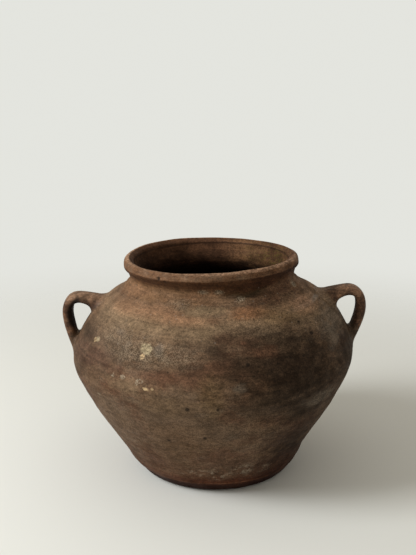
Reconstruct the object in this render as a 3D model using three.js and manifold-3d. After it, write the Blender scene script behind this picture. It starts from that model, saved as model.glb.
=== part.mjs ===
// A two-handled terracotta urn, built from the clay members that a potter lutes together with slip.
// Millimetres, +Z up. The origin is the centre of the standing face, +X points to the right handle and
// -Y is the front.
import * as THREE from "three";
import { mergeVertices } from "three/addons/utils/BufferGeometryUtils.js";
import Module from "manifold-3d";

// Outside of the body, from the foot up. A rise is measured from the station below, a flare or an inset
// from the radius that it names.
const FOOT_RADIUS = 80; // flat standing face
const DISC_EDGE_RISE = 7; // thickness of the base disc at its edge
const DISC_EDGE_FLARE = 10.2; // beyond the foot radius
const HEEL_RISE = 12.5;
const HEEL_FLARE = 19.6; // beyond the foot radius
const CONE_FOOT_RISE = 15.5;
const CONE_FOOT_FLARE = 27.3; // beyond the foot radius
const CONE_RISE = 60; // straight part of the lower wall
const CONE_TOP_INSET = 16.1; // from the belly radius
const BELLY_RISE = 43;
const BELLY_RADIUS = 160; // widest part
const SHOULDER_RISE = 37;
const SHOULDER_INSET = 14.2; // from the belly radius
const SHOULDER_TOP_RISE = 25;
const SHOULDER_TOP_INSET = 35.8; // from the belly radius
const NECK_ROOT_RISE = 17;
const NECK_ROOT_FLARE = 6.2; // beyond the neck radius
const NECK_RISE = 9;
const NECK_RADIUS = 92.7; // narrowest part
const LIP_SEAT_RISE = 8.5;
const LIP_SEAT_FLARE = 1.7; // beyond the neck radius

// Rolled lip: an oval section that overhangs the neck on both sides.
const LIP_HALF_WIDTH = 8.3;
const LIP_HALF_HEIGHT = 7.8;
const LIP_SINK = 1.4; // how much of the oval is pressed flat on its seat
const LIP_INSET = 4.7; // from the outer edge of the seat in to the middle of the oval

// Walls, floor and the joints between the members.
const WALL = 9;
const PAD_RISE = 5; // the floor's raised pad above the step that carries the wall
const SLIP_GAP = 0.3; // film of slip between two members
const BELLY_SCARF = 6; // rise of the belly joint from the outside to the inside
const NECK_SCARF = 4; // the same at the neck joint
const TONGUE_WIDTH = 4; // ridge on the neck that keys the lip
const TONGUE_HEIGHT = 2.5;

// Coils pressed over the inside joints.
const BASE_COIL_LEG = 11; // up the wall and along the floor
const BASE_COIL_FILL = 1 / 3; // 0 hollows the fillet to its corner
const BELLY_COIL_REACH = 9; // above and below the joint
const BELLY_COIL_THICKNESS = 3.5;

// Strap handles. Heights are measured from the belly's widest part.
const STRAP_WIDTH = 25;
const STRAP_THICKNESS = 9.5;
const STRAP_CORNER = 4;
const STRAP_ROOT_WIDTH = 30;
const STRAP_ROOT_THICKNESS = 12;
const STRAP_TAIL_WIDTH = 28;
const STRAP_TAIL_THICKNESS = 7.5;
const STRAP_ROOT_SHARE = 1 / 3; // of the strap's length, where it swells to its root
const STRAP_TAIL_SHARE = 1 / 3; // of the strap's length, where it spreads to its tail
const HANDLE_ROOT_ABOVE = 47;
const HANDLE_ROOT_SINK = 27; // how far the strap's upper end starts inside the shoulder's outline
const HANDLE_TAIL_BELOW = 4;
const HANDLE_TAIL_SINK = 7;
const HANDLE_STANDOUT = 7.2; // the loop's middle line beyond the belly
const HANDLE_TURN_ABOVE = 47.5; // where the loop stands out farthest
const HANDLE_CROWN_ABOVE = 71; // height towards which the top of the loop is drawn
const HANDLE_CROWN_RUN = 9; // run of the upper root beyond the shoulder's outline
const HANDLE_DROP = 13.5; // straight drop below the turn
const HANDLE_TAIL_RISE = 21; // stretch of the tail that lies along the belly
const HANDLE_STEP = 2.6; // the right handle sits this much higher than the left

// Wads of clay smeared round the handle roots: half sizes along the body, across it and out from it.
const UPPER_WAD_ALONG = 16;
const UPPER_WAD_ACROSS = 20;
const UPPER_WAD_OUT = 7;
const UPPER_WAD_LIFT = 9; // above the handle's upper root
const LOWER_WAD_ALONG = 17;
const LOWER_WAD_ACROSS = 18;
const LOWER_WAD_OUT = 3;
const LOWER_WAD_LIFT = 14; // above the handle's tail

// How the soft clay settled before the firing.
const LEAN_DEGREES = 1.2; // the whole jar leans to -X
const LEAN_START = 40; // below this height the lean fades out, so that the foot stays flat
const SHOULDER_SWAY = 2.6; // the shoulder stands off the axis to +X
const SWAY_BELOW = 60; // height below the middle of the shoulder over which the sway grows
const SWAY_ABOVE = 65; // height above it over which the sway fades
const MOUTH_TWIST = 0.024; // slope of the lip where it dips at the front left and the back right

// Facets.
const ROUND_SEGMENTS = 40;
const OUTER_STEPS = 3; // per stretch between two stations
const INNER_STEPS = 2;
const LIP_STEPS = 13;
const EDGE_STEPS = 4;
const COIL_STEPS = 4;
const STRAP_STEPS = 18;
const STRAP_CORNER_STEPS = 3;
const WAD_AROUND = 16;
const WAD_DOWN = 10;

const wasm = await Module();
wasm.setup();

// A profile point: radius and height.
const at = (radius, height) => new THREE.Vector2(radius, height);

// Heights above the standing face.
const DISC_EDGE_HEIGHT = DISC_EDGE_RISE;
const FLOOR_HEIGHT = DISC_EDGE_HEIGHT + PAD_RISE;
const HEEL_HEIGHT = DISC_EDGE_HEIGHT + HEEL_RISE;
const CONE_FOOT_HEIGHT = HEEL_HEIGHT + CONE_FOOT_RISE;
const CONE_TOP_HEIGHT = CONE_FOOT_HEIGHT + CONE_RISE;
const BELLY_HEIGHT = CONE_TOP_HEIGHT + BELLY_RISE;
const SHOULDER_HEIGHT = BELLY_HEIGHT + SHOULDER_RISE;
const SHOULDER_TOP_HEIGHT = SHOULDER_HEIGHT + SHOULDER_TOP_RISE;
const NECK_ROOT_HEIGHT = SHOULDER_TOP_HEIGHT + NECK_ROOT_RISE;
const NECK_HEIGHT = NECK_ROOT_HEIGHT + NECK_RISE;
const LIP_SEAT_HEIGHT = NECK_HEIGHT + LIP_SEAT_RISE;
const LIP_SEAT_RADIUS = NECK_RADIUS + LIP_SEAT_FLARE;

const OUTLINE_STATIONS = [
  at(FOOT_RADIUS + DISC_EDGE_FLARE, DISC_EDGE_HEIGHT),
  at(FOOT_RADIUS + HEEL_FLARE, HEEL_HEIGHT),
  at(FOOT_RADIUS + CONE_FOOT_FLARE, CONE_FOOT_HEIGHT),
  at(BELLY_RADIUS - CONE_TOP_INSET, CONE_TOP_HEIGHT),
  at(BELLY_RADIUS, BELLY_HEIGHT),
  at(BELLY_RADIUS - SHOULDER_INSET, SHOULDER_HEIGHT),
  at(BELLY_RADIUS - SHOULDER_TOP_INSET, SHOULDER_TOP_HEIGHT),
  at(NECK_RADIUS + NECK_ROOT_FLARE, NECK_ROOT_HEIGHT),
  at(NECK_RADIUS, NECK_HEIGHT),
  at(LIP_SEAT_RADIUS, LIP_SEAT_HEIGHT),
];
const outlineCurve = new THREE.CatmullRomCurve3(
  OUTLINE_STATIONS.map((p) => new THREE.Vector3(p.x, p.y, 0)),
  false,
  "centripetal",
);

// The body's outside moved outwards by a distance (inwards if negative), from the foot up.
function outline(distance, stepsPerStretch) {
  const count = stepsPerStretch * (OUTLINE_STATIONS.length - 1);
  return Array.from({ length: count + 1 }, (_, i) => {
    const point = outlineCurve.getPoint(i / count);
    const along = outlineCurve.getTangent(i / count);
    return at(point.x + along.y * distance, point.y - along.x * distance);
  });
}

const outside = outline(0, OUTER_STEPS);
const inside = outline(-WALL, INNER_STEPS);

// The point of a rising line at a height, on the line's end stretches carried on past its ends.
function pointAt(line, height) {
  const above = line.findIndex((p) => p.y >= height);
  const upper = above < 0 ? line.length - 1 : Math.max(above, 1);
  const from = line[upper - 1];
  const to = line[upper];
  return from.clone().lerp(to, (height - from.y) / (to.y - from.y));
}

// The stretch of a rising line between two heights, cut exactly at both.
function stretch(line, low, high) {
  const middle = line.filter((p) => p.y > low && p.y < high);
  return [pointAt(line, low), ...middle, pointAt(line, high)];
}

// A closed ring or disc turned about the body's axis. The profile runs up the outside and down the inside.
function turned(profile) {
  return new THREE.LatheGeometry(profile, ROUND_SEGMENTS).rotateX(Math.PI / 2);
}

// A profile that ends where it starts.
const closed = (profile) => [...profile, profile[0].clone()];

// A wall member between two slanted joints, each given by its height on the outside and on the inside.
function wallProfile(low, high) {
  const outer = stretch(outside, low.outside, high.outside);
  const inner = stretch(inside, low.inside, high.inside).reverse();
  return [...outer, ...inner];
}

// Members turned on the wheel

// The floor: a disc with a rounded edge, stepped so that the wall stands round a raised pad.
function baseDisc() {
  const edge = new THREE.QuadraticBezierCurve(
    at(FOOT_RADIUS, 0),
    at(FOOT_RADIUS + DISC_EDGE_FLARE / 2, 0),
    at(FOOT_RADIUS + DISC_EDGE_FLARE, DISC_EDGE_HEIGHT),
  );
  const padRadius = pointAt(inside, FLOOR_HEIGHT).x - SLIP_GAP;
  return turned([
    at(0, 0),
    ...edge.getPoints(EDGE_STEPS),
    at(padRadius, DISC_EDGE_HEIGHT),
    at(padRadius, FLOOR_HEIGHT),
    at(0, FLOOR_HEIGHT),
  ]);
}

// The straight cone from the disc's step to the belly joint, with an upright inner foot round the pad.
function lowerWall() {
  const foot = DISC_EDGE_HEIGHT + SLIP_GAP;
  const joints = wallProfile(
    { outside: foot, inside: FLOOR_HEIGHT },
    { outside: BELLY_HEIGHT, inside: BELLY_HEIGHT + BELLY_SCARF },
  );
  return turned(closed([...joints, at(pointAt(inside, FLOOR_HEIGHT).x, foot)]));
}

// The shoulder, which caps the slanted edge of the lower wall.
function upperWall() {
  return turned(
    closed(
      wallProfile(
        { outside: BELLY_HEIGHT + SLIP_GAP, inside: BELLY_HEIGHT + BELLY_SCARF + SLIP_GAP },
        { outside: NECK_ROOT_HEIGHT, inside: NECK_ROOT_HEIGHT + NECK_SCARF },
      ),
    ),
  );
}

// The middle of the lip's seat, where the tongue stands and the groove is cut.
const tongueMiddle = (pointAt(outside, LIP_SEAT_HEIGHT).x + pointAt(inside, LIP_SEAT_HEIGHT).x) / 2;

// A step across the seat: a ridge or groove of the tongue's size, larger all round by a clearance.
function tongueStep(seat, clearance) {
  const half = TONGUE_WIDTH / 2 + clearance;
  const top = LIP_SEAT_HEIGHT + TONGUE_HEIGHT + clearance;
  return [
    at(tongueMiddle + half, seat),
    at(tongueMiddle + half, top),
    at(tongueMiddle - half, top),
    at(tongueMiddle - half, seat),
  ];
}

// The short drawn-in neck, with the tongue on its upper edge.
function neckCollar() {
  const low = NECK_ROOT_HEIGHT + SLIP_GAP;
  const outer = stretch(outside, low, LIP_SEAT_HEIGHT);
  const inner = stretch(inside, low + NECK_SCARF, LIP_SEAT_HEIGHT).reverse();
  return turned(closed([...outer, ...tongueStep(LIP_SEAT_HEIGHT, 0), ...inner]));
}

// The rolled lip: an oval cut flat where it sits on the neck, with a groove over the tongue.
function rimRoll() {
  const seat = LIP_SEAT_HEIGHT + SLIP_GAP;
  const centre = at(LIP_SEAT_RADIUS - LIP_INSET, LIP_SEAT_HEIGHT + LIP_HALF_HEIGHT - LIP_SINK);
  const start = Math.asin((seat - centre.y) / LIP_HALF_HEIGHT);
  const oval = new THREE.EllipseCurve(
    centre.x, centre.y, LIP_HALF_WIDTH, LIP_HALF_HEIGHT, start, Math.PI - start,
  );
  return turned(closed([...oval.getPoints(LIP_STEPS), ...tongueStep(seat, SLIP_GAP).reverse()]));
}

// The coil in the corner between floor and wall, smoothed to a hollow fillet.
function baseSeamCoil() {
  const low = FLOOR_HEIGHT + SLIP_GAP;
  const wallSide = stretch(inside, low, low + BASE_COIL_LEG).map((p) => at(p.x - SLIP_GAP, p.y));
  const corner = wallSide[0];
  const top = wallSide[wallSide.length - 1];
  const toe = at(corner.x - BASE_COIL_LEG, low);
  const hollow = corner.clone().lerp(top, BASE_COIL_FILL);
  const fillet = new THREE.QuadraticBezierCurve(top, hollow, toe);
  return turned(closed([...wallSide, ...fillet.getPoints(COIL_STEPS).slice(1)]));
}

// The flattened coil over the belly joint, bowed towards the inside of the jar.
function bellySeamCoil() {
  const middle = BELLY_HEIGHT + BELLY_SCARF;
  const low = middle - BELLY_COIL_REACH;
  const high = middle + BELLY_COIL_REACH;
  const wallSide = stretch(inside, low, high).map((p) => at(p.x - SLIP_GAP, p.y));
  const top = wallSide[wallSide.length - 1];
  const bow = at(pointAt(inside, middle).x - 2 * BELLY_COIL_THICKNESS, middle);
  const face = new THREE.QuadraticBezierCurve(top, bow, wallSide[0]);
  return turned([...wallSide, ...face.getPoints(2 * COIL_STEPS).slice(1)]);
}

// Handles and wads

// A closed geometry as a solid that can be cut.
function solidOf(geometry) {
  const bare = new THREE.BufferGeometry();
  bare.setAttribute("position", geometry.getAttribute("position"));
  bare.setIndex(geometry.index);
  const merged = mergeVertices(bare);
  return new wasm.Manifold(
    new wasm.Mesh({
      numProp: 3,
      vertProperties: merged.getAttribute("position").array,
      triVerts: new Uint32Array(merged.index.array),
    }),
  );
}

// A cut solid as a geometry again.
function geometryOf(solid) {
  const mesh = solid.getMesh();
  const geometry = new THREE.BufferGeometry();
  geometry.setAttribute("position", new THREE.BufferAttribute(mesh.vertProperties, 3));
  geometry.setIndex(new THREE.BufferAttribute(mesh.triVerts, 1));
  return geometry;
}

// The body as one block, larger all round by the film of slip: what the handles and wads are cut by.
function bodyBlock() {
  const grown = outline(SLIP_GAP, OUTER_STEPS);
  const top = grown[grown.length - 1];
  return solidOf(turned([at(0, grown[0].y), ...grown, at(0, top.y)]));
}

// A strap's section: thickness along X, width along Y, with rounded corners.
function strapSection(clearance) {
  const rounding = Math.min(STRAP_CORNER, STRAP_THICKNESS / 2 - SLIP_GAP);
  const x = STRAP_THICKNESS / 2 - rounding;
  const y = STRAP_WIDTH / 2 - rounding;
  const corner = rounding + clearance;
  const quarter = Math.PI / 2;
  const shape = new THREE.Shape();
  shape.absarc(x, y, corner, 0, quarter);
  shape.absarc(-x, y, corner, quarter, 2 * quarter);
  shape.absarc(-x, -y, corner, 2 * quarter, 3 * quarter);
  shape.absarc(x, -y, corner, 3 * quarter, 4 * quarter);
  return shape;
}

// The strap's middle line, from inside the shoulder round the loop to inside the belly.
function strapLine(lift) {
  const lifted = (radius, height) => at(radius, height + lift);
  const root = pointAt(outside, BELLY_HEIGHT + HANDLE_ROOT_ABOVE);
  const tail = pointAt(outside, BELLY_HEIGHT - HANDLE_TAIL_BELOW);
  const reach = BELLY_RADIUS + HANDLE_STANDOUT;
  const crown = BELLY_HEIGHT + HANDLE_CROWN_ABOVE;
  const turn = BELLY_HEIGHT + HANDLE_TURN_ABOVE;
  const line = new THREE.CurvePath();
  line.add(
    new THREE.CubicBezierCurve(
      lifted(root.x - HANDLE_ROOT_SINK, root.y),
      lifted(root.x + HANDLE_CROWN_RUN, crown),
      lifted(reach, crown),
      lifted(reach, turn),
    ),
  );
  line.add(
    new THREE.CubicBezierCurve(
      lifted(reach, turn),
      lifted(reach, turn - HANDLE_DROP),
      lifted(tail.x, tail.y + HANDLE_TAIL_RISE),
      lifted(tail.x - HANDLE_TAIL_SINK, tail.y),
    ),
  );
  return line;
}

// A size that eases from the root's to the loop's and on to the tail's, at a share of the strap's length.
function alongStrap(share, root, middle, tail) {
  const fromRoot = THREE.MathUtils.smoothstep(share, 0, STRAP_ROOT_SHARE);
  const toTail = THREE.MathUtils.smoothstep(share, 1 - STRAP_TAIL_SHARE, 1);
  return root + (middle - root) * fromRoot + (tail - middle) * toTail;
}

// The strap bent along its middle line, over +X, larger all round by a clearance.
function bentStrap(lift, clearance) {
  const line = strapLine(lift);
  const strap = new THREE.ExtrudeGeometry(strapSection(clearance), {
    depth: 1,
    steps: STRAP_STEPS,
    curveSegments: STRAP_CORNER_STEPS,
    bevelEnabled: false,
  });
  const place = strap.getAttribute("position");
  for (let i = 0; i < place.count; i += 1) {
    const share = place.getZ(i);
    const middle = line.getPointAt(share);
    const along = line.getTangentAt(share);
    const thickness = alongStrap(share, STRAP_ROOT_THICKNESS, STRAP_THICKNESS, STRAP_TAIL_THICKNESS);
    const width = alongStrap(share, STRAP_ROOT_WIDTH, STRAP_WIDTH, STRAP_TAIL_WIDTH);
    const inwards = (place.getX(i) * thickness) / STRAP_THICKNESS;
    const across = (place.getY(i) * width) / STRAP_WIDTH;
    place.setXYZ(i, middle.x + along.y * inwards, across, middle.y - along.x * inwards);
  }
  return solidOf(strap);
}

// An oval lump of clay on the body's outside over +X, at a height above the belly, turned to lie along it.
function wadLump(above, along, across, out) {
  const height = BELLY_HEIGHT + above;
  const seat = pointAt(outside, height);
  const slope = pointAt(outside, height + along / 2).sub(pointAt(outside, height - along / 2));
  const lump = new THREE.SphereGeometry(1, WAD_AROUND, WAD_DOWN);
  lump.scale(out, across, along);
  lump.rotateY(Math.atan2(slope.x, slope.y));
  lump.translate(seat.x, 0, seat.y);
  return solidOf(lump);
}

// The jar's settling: lean, sway of the shoulder and twist of the mouth, as a shift of each point.
function settled(geometry) {
  const lean = THREE.MathUtils.degToRad(LEAN_DEGREES);
  const swayMiddle = (SHOULDER_HEIGHT + SHOULDER_TOP_HEIGHT) / 2;
  const place = geometry.getAttribute("position");
  for (let i = 0; i < place.count; i += 1) {
    const x = place.getX(i);
    const y = place.getY(i);
    const z = place.getZ(i);
    const leaning = lean * THREE.MathUtils.smoothstep(z, 0, LEAN_START);
    const swaying =
      THREE.MathUtils.smoothstep(z, swayMiddle - SWAY_BELOW, swayMiddle) *
      (1 - THREE.MathUtils.smoothstep(z, swayMiddle, swayMiddle + SWAY_ABOVE));
    const mouth = THREE.MathUtils.smoothstep(z, NECK_ROOT_HEIGHT, LIP_SEAT_HEIGHT);
    const twist = (-MOUTH_TWIST * mouth * x * y) / LIP_SEAT_RADIUS;
    place.setXYZ(
      i,
      x * Math.cos(leaning) - z * Math.sin(leaning) + SHOULDER_SWAY * swaying,
      y,
      x * Math.sin(leaning) + z * Math.cos(leaning) + twist,
    );
  }
  geometry.computeVertexNormals();
  return geometry;
}

// Materials and assembly

// Unglazed clay of a colour and a roughness.
const clay = (color, roughness) => new THREE.MeshStandardMaterial({ color, roughness, metalness: 0 });

// A sub-part: its settled geometry under its name.
function named(name, geometry, material) {
  const mesh = new THREE.Mesh(settled(geometry), material);
  mesh.name = name;
  return mesh;
}

const block = bodyBlock();

// One side's handle and its two wads. The left side is the right side turned half round the axis.
function handleSet(side, lift, halfTurns) {
  const strap = bentStrap(lift, 0);
  const room = bentStrap(lift, SLIP_GAP).add(block);
  const upperAbove = HANDLE_ROOT_ABOVE + UPPER_WAD_LIFT + lift;
  const lowerAbove = LOWER_WAD_LIFT - HANDLE_TAIL_BELOW + lift;
  const wads = {
    upper: wadLump(upperAbove, UPPER_WAD_ALONG, UPPER_WAD_ACROSS, UPPER_WAD_OUT),
    lower: wadLump(lowerAbove, LOWER_WAD_ALONG, LOWER_WAD_ACROSS, LOWER_WAD_OUT),
  };
  const round = (solid) => geometryOf(solid).rotateZ(halfTurns * Math.PI);
  const set = new THREE.Group();
  set.add(named(`${side}_handle`, round(strap.subtract(block)), clay(0x6b4a38, 0.82)));
  for (const [level, lump] of Object.entries(wads)) {
    set.add(named(`${side}_${level}_wad`, round(lump.subtract(room)), clay(0x66493a, 0.86)));
  }
  return set;
}

const body = new THREE.Group();
body.add(
  named("base_disc", baseDisc(), clay(0x6e3f2c, 0.85)),
  named("base_seam_coil", baseSeamCoil(), clay(0x5d4031, 0.9)),
  named("lower_wall", lowerWall(), clay(0x64503f, 0.88)),
  named("belly_seam_coil", bellySeamCoil(), clay(0x5d4031, 0.9)),
  named("upper_wall", upperWall(), clay(0x6d5544, 0.86)),
  named("neck_collar", neckCollar(), clay(0x664b3a, 0.86)),
  named("rim_roll", rimRoll(), clay(0x714d3a, 0.8)),
);

const urn = new THREE.Group();
urn.add(body, handleSet("right", HANDLE_STEP / 2, 0), handleSet("left", -HANDLE_STEP / 2, 1));

export default urn;
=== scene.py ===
"""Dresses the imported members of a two-handled terracotta urn in worn, sooted clay.

Metres, +Z up, in the part's own frame: the origin is the centre of the standing face, +X points to the
right handle and -Y is the front. An azimuth is measured at the front, positive towards the right handle.
"""

import logging
import math
from abc import ABC, abstractmethod
from bisect import bisect_left
from collections.abc import Callable
from dataclasses import dataclass, field
from enum import Enum
from functools import cached_property

import bmesh
import bpy
from mathutils import Matrix, Vector, noise
from mathutils.geometry import interpolate_bezier


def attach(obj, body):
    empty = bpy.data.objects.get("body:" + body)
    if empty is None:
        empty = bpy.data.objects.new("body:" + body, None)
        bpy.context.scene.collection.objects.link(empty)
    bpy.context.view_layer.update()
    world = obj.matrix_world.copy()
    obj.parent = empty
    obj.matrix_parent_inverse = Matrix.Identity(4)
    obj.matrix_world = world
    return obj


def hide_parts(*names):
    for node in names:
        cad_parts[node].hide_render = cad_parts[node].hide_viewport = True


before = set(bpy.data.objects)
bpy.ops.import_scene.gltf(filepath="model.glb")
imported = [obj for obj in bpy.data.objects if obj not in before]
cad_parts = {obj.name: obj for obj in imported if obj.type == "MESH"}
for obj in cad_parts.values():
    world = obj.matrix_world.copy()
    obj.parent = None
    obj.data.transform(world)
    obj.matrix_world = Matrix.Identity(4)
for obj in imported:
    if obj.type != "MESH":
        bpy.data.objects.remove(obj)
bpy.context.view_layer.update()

ROOT_BODY = "root"
WHEEL_AXIS = Vector((0.0, 0.0, 1.0))
MERGE_DISTANCE = 1e-6
NOISE_MIDDLE = 0.5
CORNER_PULL = 2.0 / 3.0
GRID_HALF = 0.5

log = logging.getLogger("urn")


def eased(value: float, start: float, end: float) -> float:
    """Gives the smooth step from 0 at start to 1 at end."""
    share = min(1.0, max(0.0, (value - start) / (end - start)))
    return share * share * (3.0 - 2.0 * share)


def bent(start: Vector, corner: Vector, end: Vector, count: int) -> list[Vector]:
    """Draws a curve that leaves its start towards a corner and comes to its end from there.

    Args:
        start: The curve's first point.
        corner: The corner that the curve rounds.
        end: The curve's last point.
        count: How many points to give.

    Returns:
        The curve's points.
    """
    handles = (start.lerp(corner, CORNER_PULL), end.lerp(corner, CORNER_PULL))
    return interpolate_bezier(start, *handles, end, count)


class Slot(Enum):
    """The record's material slots."""

    WALL = "wall_clay"
    RIM = "rim_clay"
    FOOT = "foot_clay"
    HANDLE = "handle_clay"
    COIL = "coil_clay"


class Side(Enum):
    """The side that a handle sits on, as its turn about the wheel's axis."""

    RIGHT = 0.0
    LEFT = math.pi


class Tint(Enum):
    """The clay's colours, as linear light."""

    BROWN = (0.122, 0.072, 0.040)
    GREY_BROWN = (0.126, 0.081, 0.050)
    RED_BROWN = (0.092, 0.045, 0.025)
    MAUVE = (0.070, 0.037, 0.023)
    WARM = (0.215, 0.118, 0.064)
    PINK_TAN = (0.195, 0.115, 0.066)
    TAN = (0.196, 0.135, 0.078)
    OLIVE = (0.112, 0.071, 0.033)
    SOOT = (0.0205, 0.0122, 0.0068)
    GREY = (0.125, 0.098, 0.072)
    HAZE = (0.260, 0.225, 0.190)
    CREAM = (0.500, 0.360, 0.200)
    ASH = (0.300, 0.250, 0.180)
    FLAKE = (0.400, 0.325, 0.200)
    BARE_RED = (0.071, 0.022, 0.009)
    FOOT_LINE = (0.140, 0.062, 0.030)
    # Painted shade: on the foot, under the lip and on the neck's right.
    DEEP_RED = (0.020, 0.006, 0.003)
    GREEN_DARK = (0.030, 0.021, 0.009)
    KHAKI = (0.168, 0.132, 0.090)
    KHAKI_DARK = (0.066, 0.046, 0.028)
    PIT = (0.012, 0.008, 0.005)
    MOSS = (0.066, 0.047, 0.012)
    RUBBED = (0.185, 0.105, 0.060)
    RIDGE = (0.290, 0.175, 0.108)
    NECK = (0.175, 0.093, 0.044)
    RUST = (0.190, 0.092, 0.044)
    LIP_RUST = (0.090, 0.038, 0.014)
    # Painted shadow under the lip.
    UNDER_LIP = (0.056, 0.023, 0.009)
    BLOOM = (0.260, 0.212, 0.155)
    HANDLE = (0.122, 0.061, 0.032)
    HANDLE_DARK = (0.060, 0.029, 0.016)
    # Painted shade on the faces round the handles' finger holes.
    HANDLE_INNER = (0.010, 0.006, 0.004)
    LIP = (0.156, 0.081, 0.042)
    LIP_GREY = (0.130, 0.080, 0.048)
    INSIDE = (0.096, 0.041, 0.019)
    INSIDE_DARK = (0.020, 0.0092, 0.0050)


# Form of the body


@dataclass(frozen=True)
class BodyOutline:
    """The outside of the body as radius and height, from the base disc's edge up to the lip's seat."""

    foot_radius: float = 0.0800
    disc_edge: tuple[float, float] = (0.0902, 0.0070)
    heel: tuple[float, float] = (0.0996, 0.0195)
    cone_foot: tuple[float, float] = (0.1073, 0.0350)
    cone_top: tuple[float, float] = (0.1439, 0.0950)
    belly: tuple[float, float] = (0.1600, 0.1380)
    shoulder: tuple[float, float] = (0.1458, 0.1750)
    shoulder_top: tuple[float, float] = (0.1242, 0.2000)
    neck_root: tuple[float, float] = (0.0989, 0.2170)
    neck: tuple[float, float] = (0.0927, 0.2260)
    lip_seat: tuple[float, float] = (0.0944, 0.2345)
    wall: float = 0.0090
    outside_step: float = 0.0011
    inside_step: float = 0.0030
    cut_margin: float = 0.1

    @cached_property
    def stations(self) -> list[Vector]:
        """The outline's stations from the foot up, in the plane over +X."""
        named = (
            self.disc_edge, self.heel, self.cone_foot, self.cone_top, self.belly,
            self.shoulder, self.shoulder_top, self.neck_root, self.neck, self.lip_seat,
        )
        return [Vector((radius, 0.0, height)) for radius, height in named]

    @cached_property
    def outside(self) -> list[Vector]:
        """Points up the outside, about one fine step apart."""
        return self._curve(self.outside_step)

    @cached_property
    def inside(self) -> list[Vector]:
        """Points up the inside of the wall, about one coarse step apart."""
        line = self._curve(self.inside_step)
        ahead = line[1:] + line[-1:]
        behind = line[:1] + line[:-1]
        moved = []
        for point, low, high in zip(line, behind, ahead):
            along = (high - low).normalized()
            moved.append(point - Vector((along.z, 0.0, -along.x)) * self.wall)
        return moved

    def _curve(self, step: float) -> list[Vector]:
        """Draws a centripetal curve through the stations.

        Args:
            step: The distance between two points, about.

        Returns:
            The curve's points from the foot up.
        """
        ends = [
            2.0 * self.stations[0] - self.stations[1],
            *self.stations,
            2.0 * self.stations[-1] - self.stations[-2],
        ]
        line = [self.stations[0]]
        for before, low, high, after in zip(ends, ends[1:], ends[2:], ends[3:]):
            first = math.sqrt((low - before).length)
            middle = math.sqrt((high - low).length)
            last = math.sqrt((after - high).length)
            along = (high - low) / middle
            leaving = (low - before) / first - (high - before) / (first + middle) + along
            arriving = along - (after - low) / (middle + last) + (after - high) / last
            count = max(2, math.ceil((high - low).length / step) + 1)
            handles = (low + leaving * middle / 3.0, high - arriving * middle / 3.0)
            line += interpolate_bezier(low, *handles, high, count)[1:]
        return line

    @cached_property
    def _heights(self) -> list[float]:
        """The heights of the outside's points, for searching."""
        return [point.z for point in self.outside]

    def _stretch_at(self, height: float) -> tuple[Vector, Vector, float]:
        """Finds the stretch of the outside at a height and the share of it that lies below."""
        upper = min(max(bisect_left(self._heights, height), 1), len(self.outside) - 1)
        low, high = self.outside[upper - 1], self.outside[upper]
        return low, high, (height - low.z) / (high.z - low.z)

    def radius_at(self, height: float) -> float:
        """Gives the outside's radius at a height."""
        low, high, share = self._stretch_at(height)
        return low.x + (high.x - low.x) * share

    def outward_at(self, height: float) -> Vector:
        """Gives the outside's outward direction at a height, over +X."""
        low, high, _ = self._stretch_at(height)
        along = (high - low).normalized()
        return Vector((along.z, 0.0, -along.x))

    def spot(self, azimuth: float, height: float) -> Vector:
        """Gives the point of the outside at an azimuth in degrees and a height."""
        turn = math.radians(azimuth)
        radius = self.radius_at(height)
        return Vector((radius * math.sin(turn), -radius * math.cos(turn), height))

    def between(self, line: list[Vector], low: float, high: float) -> list[Vector]:
        """Cuts a rising line at two heights.

        Args:
            line: Points in rising order.
            low: The height of the lower cut.
            high: The height of the upper cut.

        Returns:
            The stretch between the cuts, with a point on each.
        """

        def cut(height: float) -> Vector:
            """Gives the line's point at a height, past its end where it stops short."""
            upper = next((i for i, p in enumerate(line) if p.z >= height), len(line) - 1)
            before, after = line[max(upper, 1) - 1], line[max(upper, 1)]
            return before + (after - before) * ((height - before.z) / (after.z - before.z))

        margin = self.cut_margin * (line[1] - line[0]).length
        middle = [p.copy() for p in line if low + margin < p.z < high - margin]
        return [cut(low), *middle, cut(high)]


@dataclass(frozen=True)
class Settling:
    """How the soft clay leaned, swayed and twisted before the firing."""

    outline: BodyOutline
    lean: float = math.radians(1.2)
    lean_start: float = 0.0400
    sway: float = 0.0026
    sway_below: float = 0.0600
    sway_above: float = 0.0650
    twist: float = 0.0240

    def settled(self, place: Vector) -> Vector:
        """Moves a point of the straight jar to where it settled."""
        x, y, z = place
        leaning = self.lean * eased(z, 0.0, self.lean_start)
        middle = (self.outline.shoulder[1] + self.outline.shoulder_top[1]) / 2.0
        rising = eased(z, middle - self.sway_below, middle)
        fading = 1.0 - eased(z, middle, middle + self.sway_above)
        mouth_radius, mouth_height = self.outline.lip_seat
        mouth = eased(z, self.outline.neck_root[1], mouth_height)
        return Vector((
            x * math.cos(leaning) - z * math.sin(leaning) + self.sway * rising * fading,
            y,
            x * math.sin(leaning) + z * math.cos(leaning) - self.twist * mouth * x * y / mouth_radius,
        ))


@dataclass(frozen=True)
class Chip:
    """A place where the skin has flaked off: where it is, how wide and how deep."""

    tint: Tint
    azimuth: float
    height: float
    radius: float
    depth: float
    length: float = 1.0


@dataclass(frozen=True)
class Ridge:
    """A low ring left by a finger or a tool."""

    height: float
    width: float
    rise: float


@dataclass(frozen=True)
class Nick:
    """A small bite out of the lip: where it is, how wide and how deep."""

    azimuth: float
    radius_out: float
    height: float
    radius: float
    depth: float

    def on(self, outline: BodyOutline) -> Vector:
        """Gives the nick's centre on the straight jar."""
        turn = math.radians(self.azimuth)
        reach = outline.lip_seat[0] + self.radius_out
        return Vector((reach * math.sin(turn), -reach * math.cos(turn), self.height))


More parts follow.
